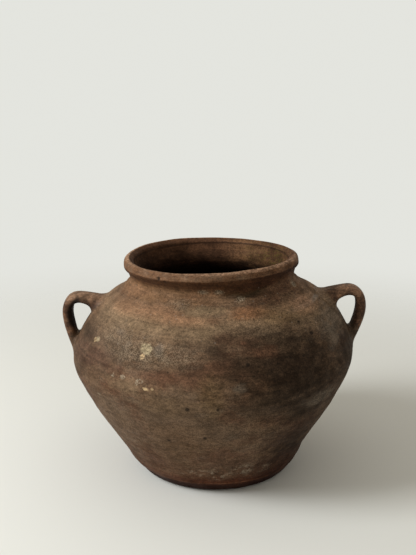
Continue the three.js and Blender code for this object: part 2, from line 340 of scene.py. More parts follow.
NICKS = (
    Nick(-34.1, 0.0036, 0.2425, 0.0021, 0.0011),
    Nick(-29.8, 0.0038, 0.2392, 0.0019, 0.0010),
    Nick(12.0, 0.0038, 0.2390, 0.0017, 0.0007),
    Nick(63.0, 0.0030, 0.2460, 0.0022, 0.0008),
    Nick(148.0, 0.0030, 0.2450, 0.0026, 0.0011),
    Nick(-131.0, 0.0036, 0.2410, 0.0024, 0.0010),
)
CHIPS = (
    Chip(Tint.CREAM, -60.4, 0.1732, 0.0027, 0.0006, 1.3),
    Chip(Tint.FLAKE, -58.5, 0.1754, 0.0029, 0.0005, 1.3),
    Chip(Tint.FLAKE, -29.0, 0.1797, 0.0046, 0.0008, 1.3),
    Chip(Tint.CREAM, -29.8, 0.1722, 0.0028, 0.0008, 0.8),
    Chip(Tint.ASH, -41.0, 0.1506, 0.0020, 0.0003, 1.2),
    Chip(Tint.ASH, -36.0, 0.1512, 0.0022, 0.0003, 1.4),
    Chip(Tint.ASH, -28.3, 0.1503, 0.0024, 0.0003, 1.6),
    Chip(Tint.ASH, -29.6, 0.1474, 0.0018, 0.0003, 1.3),
    Chip(Tint.CREAM, -25.6, 0.1438, 0.0016, 0.0004, 2.2),
    Chip(Tint.CREAM, -22.8, 0.1446, 0.0012, 0.0004, 1.3),
    Chip(Tint.ASH, -49.9, 0.1225, 0.0013, 0.0003, 2.4),
    Chip(Tint.FLAKE, 118.0, 0.1610, 0.0056, 0.0008),
    Chip(Tint.CREAM, 124.0, 0.1540, 0.0024, 0.0006, 1.4),
    Chip(Tint.FLAKE, 171.0, 0.1290, 0.0036, 0.0007),
    Chip(Tint.CREAM, -142.0, 0.1830, 0.0040, 0.0008),
    Chip(Tint.ASH, -118.0, 0.1120, 0.0028, 0.0006, 1.5),
)
RIDGES = (
    Ridge(0.0140, 0.0011, 0.00045),
    Ridge(0.2052, 0.0012, 0.00030),
    Ridge(0.2186, 0.0014, 0.00035),
)


@dataclass(frozen=True)
class HandRelief:
    """What the potter's hands, the wheel and long use left on the wall."""

    outline: BodyOutline
    dent_size: float = 0.0800
    dent_depth: float = 0.0010
    band_run: float = 0.2200
    band_pitch: float = 0.0085
    band_depth: float = 0.00030
    ring_run: float = 0.3000
    ring_pitch: float = 0.0026
    ring_depth: float = 0.00010
    groove_run: float = 0.2500
    groove_pitch: float = 0.0130
    groove_depth: float = 0.00080
    chip_raggedness: float = 0.45
    chip_grain: float = 0.0035
    chip_floor: float = 0.75
    chip_reach: float = 2.0

    @cached_property
    def chip_places(self) -> list[tuple[Vector, Chip]]:
        """Each chip with its centre on the straight jar."""
        return [(self.outline.spot(chip.azimuth, chip.height), chip) for chip in CHIPS]

    @staticmethod
    def _turned(place: Vector, run: float, pitch: float) -> float:
        """Gives noise that is drawn out along the wheel's turn, from -1 to 1."""
        return noise.noise(Vector((place.x / run, place.y / run, place.z / pitch)))

    def crater(self, place: Vector) -> float:
        """Gives how deep the chips cut at a point."""
        depth = 0.0
        for centre, chip in self.chip_places:
            away = (place - centre).length
            if away > self.chip_reach * chip.radius:
                continue
            ragged = 1.0 + self.chip_raggedness * noise.noise(place / self.chip_grain)
            wall = eased(away * ragged, self.chip_floor * chip.radius, chip.radius)
            depth = max(depth, chip.depth * (1.0 - wall))
        return depth

    def outside_lift(self, place: Vector) -> float:
        """Gives how far the outside stands off its outline at a point."""
        lift = self.dent_depth * noise.noise(place / self.dent_size)
        lift += self.band_depth * self._turned(place, self.band_run, self.band_pitch)
        lift += self.ring_depth * self._turned(place, self.ring_run, self.ring_pitch)
        for ridge in RIDGES:
            lift += ridge.rise * math.exp(-(((place.z - ridge.height) / ridge.width) ** 2))
        foot = eased(place.z, self.outline.disc_edge[1], self.outline.heel[1])
        seat = 1.0 - eased(place.z, self.outline.neck[1], self.outline.lip_seat[1])
        return lift * foot * seat - self.crater(place)

    def inside_lift(self, place: Vector) -> float:
        """Gives how far the inside stands off its own line at a point."""
        return self.groove_depth * self._turned(place, self.groove_run, self.groove_pitch)

    def shaped(self, place: Vector) -> Vector:
        """Moves a point of the wall along its outward direction, by what its face carries."""
        radius = math.hypot(place.x, place.y)
        outward = self.outline.outward_at(place.z)
        below = (self.outline.radius_at(place.z) - radius) * outward.x
        inner = min(1.0, max(0.0, below / self.outline.wall))
        lift = (1.0 - inner) * self.outside_lift(place) + inner * self.inside_lift(place)
        around = Vector((place.x / radius * outward.x, place.y / radius * outward.x, outward.z))
        return place + around * lift


# Making pieces


@dataclass(frozen=True)
class Joints:
    """How the members lap: the floor's raised pad, the slanted joints and the slip between two."""

    pad_rise: float = 0.0050
    belly_scarf: float = 0.0060
    neck_scarf: float = 0.0040
    film: float = 0.0003


@dataclass(frozen=True)
class Workshop:
    """What every piece of the jar is shaped by; inside_from is the share of the wall that is outside."""

    outline: BodyOutline
    relief: HandRelief
    settling: Settling
    joints: Joints = Joints()
    inside_from: float = 0.6
    turns: int = 384
    crease: float = math.radians(40.0)

    def spun(self, section: list[Vector]) -> bmesh.types.BMesh:
        """Spins a closed section about the wheel's axis.

        Args:
            section: The section's points over +X, in order.

        Returns:
            The closed ring, or the disc where the section meets the axis.
        """
        ring = bmesh.new()
        points = [ring.verts.new(point) for point in section]
        edges = [ring.edges.new(pair) for pair in zip(points, points[1:] + points[:1])]
        bmesh.ops.spin(
            ring, geom=points + edges, axis=WHEEL_AXIS, cent=(0.0, 0.0, 0.0), dvec=(0.0, 0.0, 0.0),
            angle=math.tau, steps=self.turns,
            use_merge=True, use_normal_flip=False, use_duplicate=False,
        )
        bmesh.ops.remove_doubles(ring, verts=ring.verts[:], dist=MERGE_DISTANCE)
        bmesh.ops.recalc_face_normals(ring, faces=ring.faces[:])
        return ring

    def finished(self, shape: bmesh.types.BMesh, node: str, slot: Slot,
                 clays: list[bpy.types.Material]) -> bpy.types.Object:
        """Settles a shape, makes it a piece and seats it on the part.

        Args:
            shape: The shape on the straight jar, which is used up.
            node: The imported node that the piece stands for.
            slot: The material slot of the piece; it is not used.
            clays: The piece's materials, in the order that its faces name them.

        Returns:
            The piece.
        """
        name = f"{node}_clay"
        for point in shape.verts:
            point.co = self.settling.settled(point.co)
        mesh = bpy.data.meshes.new(name)
        shape.to_mesh(mesh)
        shape.free()
        mesh.shade_smooth()
        mesh.set_sharp_from_angle(angle=self.crease)
        for clay in clays:
            mesh.materials.append(clay)
        piece = bpy.data.objects.new(name, mesh)
        bpy.context.scene.collection.objects.link(piece)
        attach(piece, ROOT_BODY)
        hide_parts(node)
        log.info("%s: %d faces for %s", name, len(mesh.polygons), node)
        return piece


# Members turned on the wheel


@dataclass
class ThrownMember(ABC):
    """A clay member that is turned on the wheel."""

    shop: Workshop
    node: str
    slot: Slot

    @abstractmethod
    def section(self) -> list[Vector]:
        """Gives the member's closed section over +X, up the outside and down the inside."""

    def worked(self, ring: bmesh.types.BMesh) -> None:
        """Lays the hand's relief on the turned ring."""
        for point in ring.verts:
            point.co = self.shop.relief.shaped(point.co)

    def build(self, outside: bpy.types.Material, inside: bpy.types.Material) -> bpy.types.Object:
        """Turns, works and seats the member.

        Args:
            outside: The finish of its outer face.
            inside: The finish of its faces towards the inside of the jar.

        Returns:
            The piece.
        """
        outline = self.shop.outline
        inner = self.shop.inside_from * outline.wall
        ring = self.shop.spun(self.section())
        for face in ring.faces:
            middle = face.calc_center_median()
            below = outline.radius_at(middle.z) - math.hypot(middle.x, middle.y)
            face.material_index = int(below * outline.outward_at(middle.z).x > inner)
        self.worked(ring)
        return self.shop.finished(ring, self.node, self.slot, [outside, inside])


@dataclass
class BaseDisc(ThrownMember):
    """The flat disc that the jar stands on, with a raised pad inside the wall."""

    edge_steps: int = 12
    face_steps: int = 14
    scuff_size: float = 0.0220
    scuff_depth: float = 0.00035

    def section(self) -> list[Vector]:
        """Runs out under the foot, round the edge and back over the step and the pad."""
        outline = self.shop.outline
        edge_radius, edge_height = outline.disc_edge
        floor = edge_height + self.shop.joints.pad_rise
        pad = outline.between(outline.inside, floor, outline.heel[1])[0].x
        low = Vector((outline.foot_radius, 0.0, 0.0))
        corner = Vector(((outline.foot_radius + edge_radius) / 2.0, 0.0, 0.0))
        high = Vector((edge_radius, 0.0, edge_height))
        edge = bent(low, corner, high, self.edge_steps)
        shares = [step / self.face_steps for step in range(self.face_steps + 1)]
        under = [low * share for share in shares[:-1]]
        top = [Vector((pad * (1.0 - share), 0.0, floor)) for share in shares]
        return [*under, *edge, Vector((pad, 0.0, edge_height)), *top]

    def worked(self, ring: bmesh.types.BMesh) -> None:
        """Scuffs the rounded edge and leaves the standing face and the joint true."""
        top = self.shop.outline.disc_edge[1]
        middle = top / 2.0
        for point in ring.verts:
            height = point.co.z
            share = eased(height, 0.0, middle) * (1.0 - eased(height, middle, top))
            if share > 0.0:
                out = Vector((point.co.x, point.co.y, 0.0)).normalized()
                point.co += out * noise.noise(point.co / self.scuff_size) * self.scuff_depth * share


@dataclass
class LowerWall(ThrownMember):
    """The cone from the disc's step up to the slanted belly joint."""

    def section(self) -> list[Vector]:
        """Runs up the outside, over the slanted joint and down the inside."""
        outline, joints = self.shop.outline, self.shop.joints
        foot = outline.disc_edge[1]
        belly = outline.belly[1]
        outer = outline.between(outline.outside, foot, belly)
        inner = outline.between(outline.inside, foot + joints.pad_rise, belly + joints.belly_scarf)
        return [*outer, *reversed(inner), Vector((inner[0].x, 0.0, foot))]


@dataclass
class UpperWall(ThrownMember):
    """The shoulder, which caps the slanted edge of the lower wall."""

    def section(self) -> list[Vector]:
        """Runs up the outside to the neck joint and down the inside."""
        outline, joints = self.shop.outline, self.shop.joints
        belly, neck_root = outline.belly[1], outline.neck_root[1]
        outer = outline.between(outline.outside, belly, neck_root)
        low, high = belly + joints.belly_scarf, neck_root + joints.neck_scarf
        inner = outline.between(outline.inside, low, high)
        return [*outer, *reversed(inner)]


@dataclass(frozen=True)
class LipKey:
    """The tongue on the neck's upper edge, or the groove in the lip that fits over it."""

    outline: BodyOutline
    width: float = 0.0040
    height: float = 0.0025

    def step(self, clearance: float) -> list[Vector]:
        """Gives the step across the seat, from the outside in, larger all round by a clearance."""
        seat_radius, seat = self.outline.lip_seat
        middle = seat_radius - self.outline.wall / 2.0
        half = self.width / 2.0 + clearance
        top = seat + self.height + clearance
        corners = ((half, seat), (half, top), (-half, top), (-half, seat))
        return [Vector((middle + aside, 0.0, height)) for aside, height in corners]


@dataclass
class NeckCollar(ThrownMember):
    """The short drawn-in neck, with a tongue on its upper edge."""

    def section(self) -> list[Vector]:
        """Runs up the outside, over the tongue and down the inside."""
        outline = self.shop.outline
        root, seat = outline.neck_root[1], outline.lip_seat[1]
        outer = outline.between(outline.outside, root, seat)
        inner = outline.between(outline.inside, root + self.shop.joints.neck_scarf, seat)
        return [*outer, *LipKey(outline).step(0.0), *reversed(inner)]


@dataclass(frozen=True)
class LipCorner:
    """A corner of the lip's section: out from the seat's edge, up from the seat, and its rounding."""

    out: float
    up: float
    rounding: float


@dataclass
class RimRoll(ThrownMember):
    """The thick turned-out lip: a plain outer face, a ridge and a bevel down to the mouth."""

    lower_edge: LipCorner = LipCorner(0.0039, 0.0076, 0.0010)
    brow: LipCorner = LipCorner(0.0034, 0.0122, 0.0032)
    ridge: LipCorner = LipCorner(-0.0018, 0.0146, 0.0022)
    inner_edge: LipCorner = LipCorner(-0.0070, 0.0108, 0.0014)
    inner_groove: LipCorner = LipCorner(-0.0074, 0.0088, 0.0009)
    droop: float = 0.0034
    corner_steps: int = 7
    step: float = 0.0009
    lump_size: float = 0.0300
    lump_depth: float = 0.00055
    drag_run: float = 0.1500
    drag_pitch: float = 0.0040
    drag_depth: float = 0.00014
    nick_grain: float = 0.0022
    nick_raggedness: float = 0.4
    nick_floor: float = 0.3

    def section(self) -> list[Vector]:
        """Runs up the outer face, over the ridge, down to the seat and back across the groove."""
        seat_radius, seat = self.shop.outline.lip_seat
        start = Vector((seat_radius, 0.0, seat))
        end = Vector((seat_radius - self.shop.outline.wall, 0.0, seat))
        named = (self.lower_edge, self.brow, self.ridge, self.inner_edge, self.inner_groove)
        corners = [start + Vector((corner.out, 0.0, corner.up)) for corner in named]
        line = [start]
        for before, corner, after, made in zip([start, *corners], corners, [*corners[1:], end], named):
            first = corner + (before - corner).normalized() * made.rounding
            last = corner + (after - corner).normalized() * made.rounding
            line += bent(first, corner, last, self.corner_steps)
        groove = LipKey(self.shop.outline).step(self.shop.joints.film)
        return [*stepped([*line, end], self.step), *reversed(groove)]

    def worked(self, ring: bmesh.types.BMesh) -> None:
        """Lets the outer edge droop at the sides, and lays lumps, finger drag and nicks on the lip."""
        seat_radius, seat = self.shop.outline.lip_seat
        low, high = seat + self.lower_edge.up, seat + self.brow.up
        ring.normal_update()
        for point in ring.verts:
            radius = math.hypot(point.co.x, point.co.y)
            loose = eased(radius, seat_radius, seat_radius + self.lower_edge.out)
            loose *= 1.0 - eased(point.co.z, low, high)
            point.co.z -= self.droop * loose * (point.co.x / radius) ** 2
            free = eased(point.co.z, seat, seat + self.lower_edge.up)
            lift = self.lump_depth * noise.noise(point.co / self.lump_size)
            run = point.co / self.drag_run
            run.z = point.co.z / self.drag_pitch
            lift += self.drag_depth * noise.noise(run)
            for nick in NICKS:
                away = (point.co - nick.on(self.shop.outline)).length
                ragged = 1.0 + self.nick_raggedness * noise.noise(point.co / self.nick_grain)
                wall = eased(away * ragged, self.nick_floor * nick.radius, nick.radius)
                lift -= nick.depth * (1.0 - wall)
            point.co += point.normal * lift * free


def stepped(line: list[Vector], step: float) -> list[Vector]:
    """Puts more points on the long stretches of a line.

    Args:
        line: The line's points.
        step: The longest stretch to leave.

    Returns:
        The line with points at most one step apart.
    """
    finer = [line[0]]
    for low, high in zip(line, line[1:]):
        count = max(1, math.ceil((high - low).length / step))
        finer += [low.lerp(high, part / count) for part in range(1, count + 1)]
    return finer


@dataclass
class SeamCoil(ThrownMember):
    """A coil of clay pressed over a joint on the inside of the jar."""

    print_size: float = 0.0160
    print_depth: float = 0.0008

    def back(self, low: float, high: float) -> list[Vector]:
        """Runs up the wall between two heights, a film of slip away from it."""
        outline = self.shop.outline
        film = Vector((self.shop.joints.film, 0.0, 0.0))
        return [point - film for point in outline.between(outline.inside, low, high)]

    def worked(self, ring: bmesh.types.BMesh) -> None:
        """Presses shallow finger marks into the free face, towards the wall that carries it."""
        ring.normal_update()
        for point in ring.verts:
            out = Vector((point.co.x, point.co.y, 0.0)).normalized()
            free = max(0.0, -point.normal.dot(out))
            point.co += out * self.print_depth * free * abs(noise.noise(point.co / self.print_size))


@dataclass
class FloorCoil(SeamCoil):
    """The coil of clay pressed into the corner between the floor and the wall."""

    leg: float = 0.0110
    fill: float = 1.0 / 3.0
    fillet_steps: int = 14
    print_size: float = 0.0140

    def section(self) -> list[Vector]:
        """Runs up the wall and back down a hollow fillet."""
        joints = self.shop.joints
        low = self.shop.outline.disc_edge[1] + joints.pad_rise + joints.film
        back = self.back(low, low + self.leg)
        corner, top = back[0], back[-1]
        toe = corner - Vector((self.leg, 0.0, 0.0))
        fillet = bent(top, corner.lerp(top, self.fill), toe, self.fillet_steps)
        return [*back, *fillet[1:]]


@dataclass
class BellyCoil(SeamCoil):
    """The flattened coil pressed over the belly joint on the inside."""

    reach: float = 0.0090
    thickness: float = 0.0035
    face_steps: int = 18

    def section(self) -> list[Vector]:
        """Runs up the wall and back down a face that bows towards the inside of the jar."""
        outline = self.shop.outline
        joint = outline.belly[1] + self.shop.joints.belly_scarf
        back = self.back(joint - self.reach, joint + self.reach)
        wall = outline.between(outline.inside, joint, outline.shoulder[1])[0].x
        # The face comes half way to the corner that it rounds.
        bow = Vector((wall - 2.0 * self.thickness, 0.0, joint))
        face = bent(back[-1], bow, back[0], self.face_steps)
        return [*back, *face[1:-1]]


# Handles


class StrapEnd(Enum):
    """An end of a strap: the share of its length where it starts, and the way out of the body."""

    UPPER = (0.0, 1.0)
    LOWER = (1.0, -1.0)


@dataclass
class StrapHandle:
    """A strap bent to a small loop on the shoulder, with clay smeared round both its ends."""

    shop: Workshop
    side: Side
    lift: float
    width: float = 0.0250
    thickness: float = 0.0116
    root_width: float = 0.0340
    root_thickness: float = 0.0260
    tail_width: float = 0.0280
    tail_thickness: float = 0.0085
    end_share: float = 0.36
    squareness: float = 2.7
    root_height: float = 0.1850
    root_sink: float = 0.0270
    tail_height: float = 0.1340
    tail_sink: float = 0.0070
    reach: float = 0.1672
    turn_height: float = 0.1855
    crown_height: float = 0.2090
    crown_run: float = 0.0090
    drop: float = 0.0135
    tail_rise: float = 0.0210
    thumb_groove: float = 0.0004
    groove_edge: float = 0.5
    upper_smear: tuple[float, float, float] = (0.0090, 0.0080, -0.50)
    lower_smear: tuple[float, float, float] = (0.0080, 0.0066, -0.40)
    lump_size: float = 0.0160
    lump_depth: float = 0.00045
    bury: float = 0.0040
    around: int = 48
    along: int = 110
    curve_points: int = 80
    search_steps: int = 160
    search_reach: float = 0.6
    bisections: int = 24
    spans: dict[float, tuple[float, float]] = field(default_factory=dict)

    @cached_property
    def _line(self) -> list[Vector]:
        """The strap's middle line from inside the shoulder round to inside the belly."""
        outline = self.shop.outline
        root = outline.radius_at(self.root_height)
        tail = outline.radius_at(self.tail_height)

        def lifted(radius: float, height: float) -> Vector:
            """Gives a point over +X, raised by the handle's lift."""
            return Vector((radius, 0.0, height + self.lift))

        turn = lifted(self.reach, self.turn_height)
        upper = interpolate_bezier(
            lifted(root - self.root_sink, self.root_height),
            lifted(root + self.crown_run, self.crown_height),
            lifted(self.reach, self.crown_height),
            turn, self.curve_points,
        )
        lower = interpolate_bezier(
            turn,
            lifted(self.reach, self.turn_height - self.drop),
            lifted(tail, self.tail_height + self.tail_rise),
            lifted(tail - self.tail_sink, self.tail_height), self.curve_points,
        )
        return upper + lower[1:]

    @cached_property
    def _runs(self) -> list[float]:
        """The length of the middle line up to each of its points."""
        runs = [0.0]
        for low, high in zip(self._line, self._line[1:]):
            runs.append(runs[-1] + (high - low).length)
        return runs

    @property
    def length(self) -> float:
        """The length of the middle line."""
        return self._runs[-1]

    def middle(self, share: float) -> tuple[Vector, Vector]:
        """Gives the middle line's point and direction at a share of its length."""
        run = min(max(share, 0.0), 1.0) * self.length
        upper = min(max(bisect_left(self._runs, run), 1), len(self._line) - 1)
        low, high = self._line[upper - 1], self._line[upper]
        part = (run - self._runs[upper - 1]) / (self._runs[upper] - self._runs[upper - 1])
        ahead = self._line[min(upper + 1, len(self._line) - 1)]
        behind = self._line[max(upper - 2, 0)]
        return low.lerp(high, part), (ahead - behind).normalized()

    def _size(self, share: float, root: float, loop: float, tail: float) -> float:
        """Eases a size from the root's to the loop's and on to the tail's."""
        from_root = eased(share, 0.0, self.end_share)
        to_tail = eased(share, 1.0 - self.end_share, 1.0)
        return root + (loop - root) * from_root + (tail - loop) * to_tail

    def skin(self, share: float, angle: float) -> Vector:
        """Gives a point of the strap's skin.

        Args:
            share: The share of the strap's length, from the root.
            angle: The angle round the section, 0 on the face towards the body.

        Returns:
            The point, over +X.
        """
        point, along = self.middle(share)
        power = 2.0 / self.squareness
        inner, aside = math.cos(angle), math.sin(angle)
        across = math.copysign(abs(aside) ** power, aside)
        inwards = self._size(share, self.root_thickness, self.thickness, self.tail_thickness) / 2.0
        inwards *= math.copysign(abs(inner) ** power, inner)
        if inner < 0.0:
            inwards += self.thumb_groove * (1.0 - across * across) * eased(-inner, 0.0, self.groove_edge)
        half = self._size(share, self.root_width, self.width, self.tail_width) / 2.0
        return point + Vector((along.z * inwards, half * across, -along.x * inwards))

    def _gap(self, place: Vector) -> float:
        """Gives how far a point stands outside the body."""
        return math.hypot(place.x, place.y) - self.shop.outline.radius_at(place.z)

    def crossing(self, end: StrapEnd, line: Callable[[float], Vector]) -> float:
        """Finds where a line along the strap leaves the body.

        Args:
            end: The end of the strap where the search starts.
            line: A function from a share of the strap's length to a point.

        Returns:
            The share at the crossing.
        """
        start, way = end.value
        inner = outer = start
        for step in range(1, self.search_steps + 1):
            inner, outer = outer, start + way * self.search_reach * step / self.search_steps
            if self._gap(line(outer)) > 0.0:
                break
        for _ in range(self.bisections):
            half = (inner + outer) / 2.0
            if self._gap(line(half)) > 0.0:
                outer = half
            else:
                inner = half
        return outer

    def buried(self, share: float, angle: float) -> Vector:
        """Gives a point of the strap as it is made, with both its ends just inside the body's wall.

        Args:
            share: The share of the way between the two buried ends.
            angle: The angle round the section.

        Returns:
            The point, over +X.
        """
        if angle not in self.spans:
            root, tail = (self.crossing(end, lambda at: self.skin(at, angle)) for end in StrapEnd)
            sink = self.bury / self.length
            self.spans[angle] = (root - sink, tail + sink)
        first, last = self.spans[angle]
        return self.skin(first + (last - first) * share, angle)

    def _turned(self, place: Vector) -> Vector:
        """Lays hand-made lumps on a point and turns it to the handle's side."""
        turned = Matrix.Rotation(self.side.value, 3, "Z") @ place
        lump = self.lump_depth * noise.noise(turned / self.lump_size)
        out = Vector((turned.x, turned.y, 0.0)).normalized()
        return turned + out * lump + WHEEL_AXIS * lump

    def _seated(self, shape: bmesh.types.BMesh, node: str, clay: bpy.types.Material) -> bpy.types.Object:
        """Turns a shape to the handle's side and seats it there."""
        bmesh.ops.recalc_face_normals(shape, faces=shape.faces[:])
        for point in shape.verts:
            point.co = self._turned(point.co)
        return self.shop.finished(shape, node, Slot.HANDLE, [clay])

    def strap(self, clay: bpy.types.Material) -> bpy.types.Object:
        """Rolls a grid into the strap and closes its hidden ends."""
        tube = rolled_grid(self.around, self.along, self.buried)
        rims = [edge for edge in tube.edges if edge.is_boundary]
        bmesh.ops.holes_fill(tube, edges=rims, sides=0)
        return self._seated(tube, f"{self.side.name.lower()}_handle", clay)

    def wad(self, end: StrapEnd, clay: bpy.types.Material) -> bpy.types.Object:
        """Smears a ring of clay round one end of the strap."""
        reaches = self.upper_smear if end is StrapEnd.UPPER else self.lower_smear
        smear = WadSmear(self, end, *reaches)
        ring = rolled_grid(self.around, smear.rows, smear.face)
        return self._seated(ring, f"{self.side.name.lower()}_{end.name.lower()}_wad", clay)

    def build(self, clay: bpy.types.Material) -> list[bpy.types.Object]:
        """Makes the strap and the wads at its two ends."""
        return [self.strap(clay), *(self.wad(end, clay) for end in StrapEnd)]


@dataclass
class WadSmear:
    """A fillet of clay between a strap's end and the body, closed underneath.

    It runs up the strap and over the body. On the face towards the body it loses the crotch's share of
    both runs, or gains it where the share is negative.
    """

    handle: StrapHandle
    end: StrapEnd
    up_strap: float
    on_body: float
    crotch: float
    lap: float = 0.00012
    depth: float = 0.0016
    fullness: float = 0.62
    back_from: float = 0.9
    face_rows: int = 14
    closing_rows: int = 4
    found: dict[float, tuple[Vector, ...]] = field(default_factory=dict)

    @property
    def rows(self) -> int:
        """The rows of the ring: the open face, three underneath and the closing one."""
        return self.face_rows + self.closing_rows

    @cached_property
    def _eye(self) -> Vector:
        """The point where the strap's middle line leaves the body."""
        share = self.handle.crossing(self.end, lambda at: self.handle.middle(at)[0])
        return self.handle.middle(share)[0]

    def _corners(self, angle: float) -> tuple[Vector, ...]:
        """Finds the fillet's run at an angle round the strap.

        Args:
            angle: The angle round the strap's section.

        Returns:
            The four points of the fillet's curve from the strap to the body, and the three points that
            close it underneath: below its end, in the corner and below its start.
        """
        outline = self.handle.shop.outline
        narrow = 1.0 - self.crotch * max(0.0, math.cos(angle))
        share = self.handle.crossing(self.end, lambda at: self.handle.skin(at, angle))
        corner = self.handle.skin(share, angle)
        run = self.end.value[1] * self.up_strap * narrow / self.handle.length
        start = self.handle.skin(share + run, angle)
        into = (self.handle.middle(share + run)[0] - start).normalized()
        inwards = (self.handle.middle(share)[0] - corner).normalized()
        back = (self.handle.skin(share + self.back_from * run, angle) - start).normalized()
        outward = self._outward(corner)
        away = corner - self._eye
        away -= outward * away.dot(outward)
        end = corner + away.normalized() * self.on_body * narrow
        scale = outline.radius_at(end.z) / math.hypot(end.x, end.y)
        end = Vector((end.x * scale, end.y * scale, end.z))
        upward = self._outward(end)
        home = corner - end
        home = (home - upward * home.dot(upward)).normalized()
        start += into * self.lap
        first = start + back * (corner - start).length * self.fullness
        last = end + home * (corner - end).length * self.fullness
        last -= upward * self.lap
        end -= upward * self.lap
        heel = corner + (inwards - outward) * self.depth
        return start, first, last, end, end - upward * self.depth, heel, start + into * self.depth

    def _outward(self, place: Vector) -> Vector:
        """Gives the body's outward direction at a point near it."""
        flat = self.handle.shop.outline.outward_at(place.z)
        around = Vector((place.x, place.y, 0.0)).normalized() * flat.x
        return Vector((around.x, around.y, flat.z))

    def face(self, share: float, angle: float) -> Vector:
        """Gives a point of the ring.

        Args:
            share: The share of the way round the ring's section, which ends where it starts.
            angle: The angle round the strap.

        Returns:
            The point, over +X.
        """
        if angle not in self.found:
            self.found[angle] = self._corners(angle)
        *curve, below_end, heel, below_start = self.found[angle]
        row = round(share * self.rows) % self.rows
        if row > self.face_rows:
            return (below_end, heel, below_start)[row - self.face_rows - 1]
        return interpolate_bezier(*curve, self.face_rows + 1)[row]


def rolled_grid(around: int, along: int, place: Callable[[float, float], Vector]) -> bmesh.types.BMesh:
    """Rolls a grid into a tube and puts each of its points in place.

    Args:
        around: The faces round the tube.
        along: The faces along the tube.
        place: A function from a share of the length and an angle round the tube to a point.

    Returns:
        The tube, with its seam merged.
    """
    tube = bmesh.new()
    bmesh.ops.create_grid(tube, x_segments=around, y_segments=along, size=GRID_HALF)
    for point in tube.verts:
        turn = round((point.co.x + GRID_HALF) * around) % around
        row = round((point.co.y + GRID_HALF) * along)
        point.co = place(row / along, math.tau * turn / around)
    bmesh.ops.remove_doubles(tube, verts=tube.verts[:], dist=MERGE_DISTANCE)
    return tube


# Finishes

Colour = tuple[float, float, float]
Socket = bpy.types.NodeSocket

# The sockets of a mix node when it mixes colours.
MIX_SHARE = 0
MIX_FIRST = 6
MIX_SECOND = 7
MIX_RESULT = 2


@dataclass(frozen=True)
class Patch:
    """A cloud of colour on the skin: its middle, its reach along and up the wall, and its strength."""

    tint: Tint
    azimuth: float
    height: float
    along: float
    up: float
    strength: float


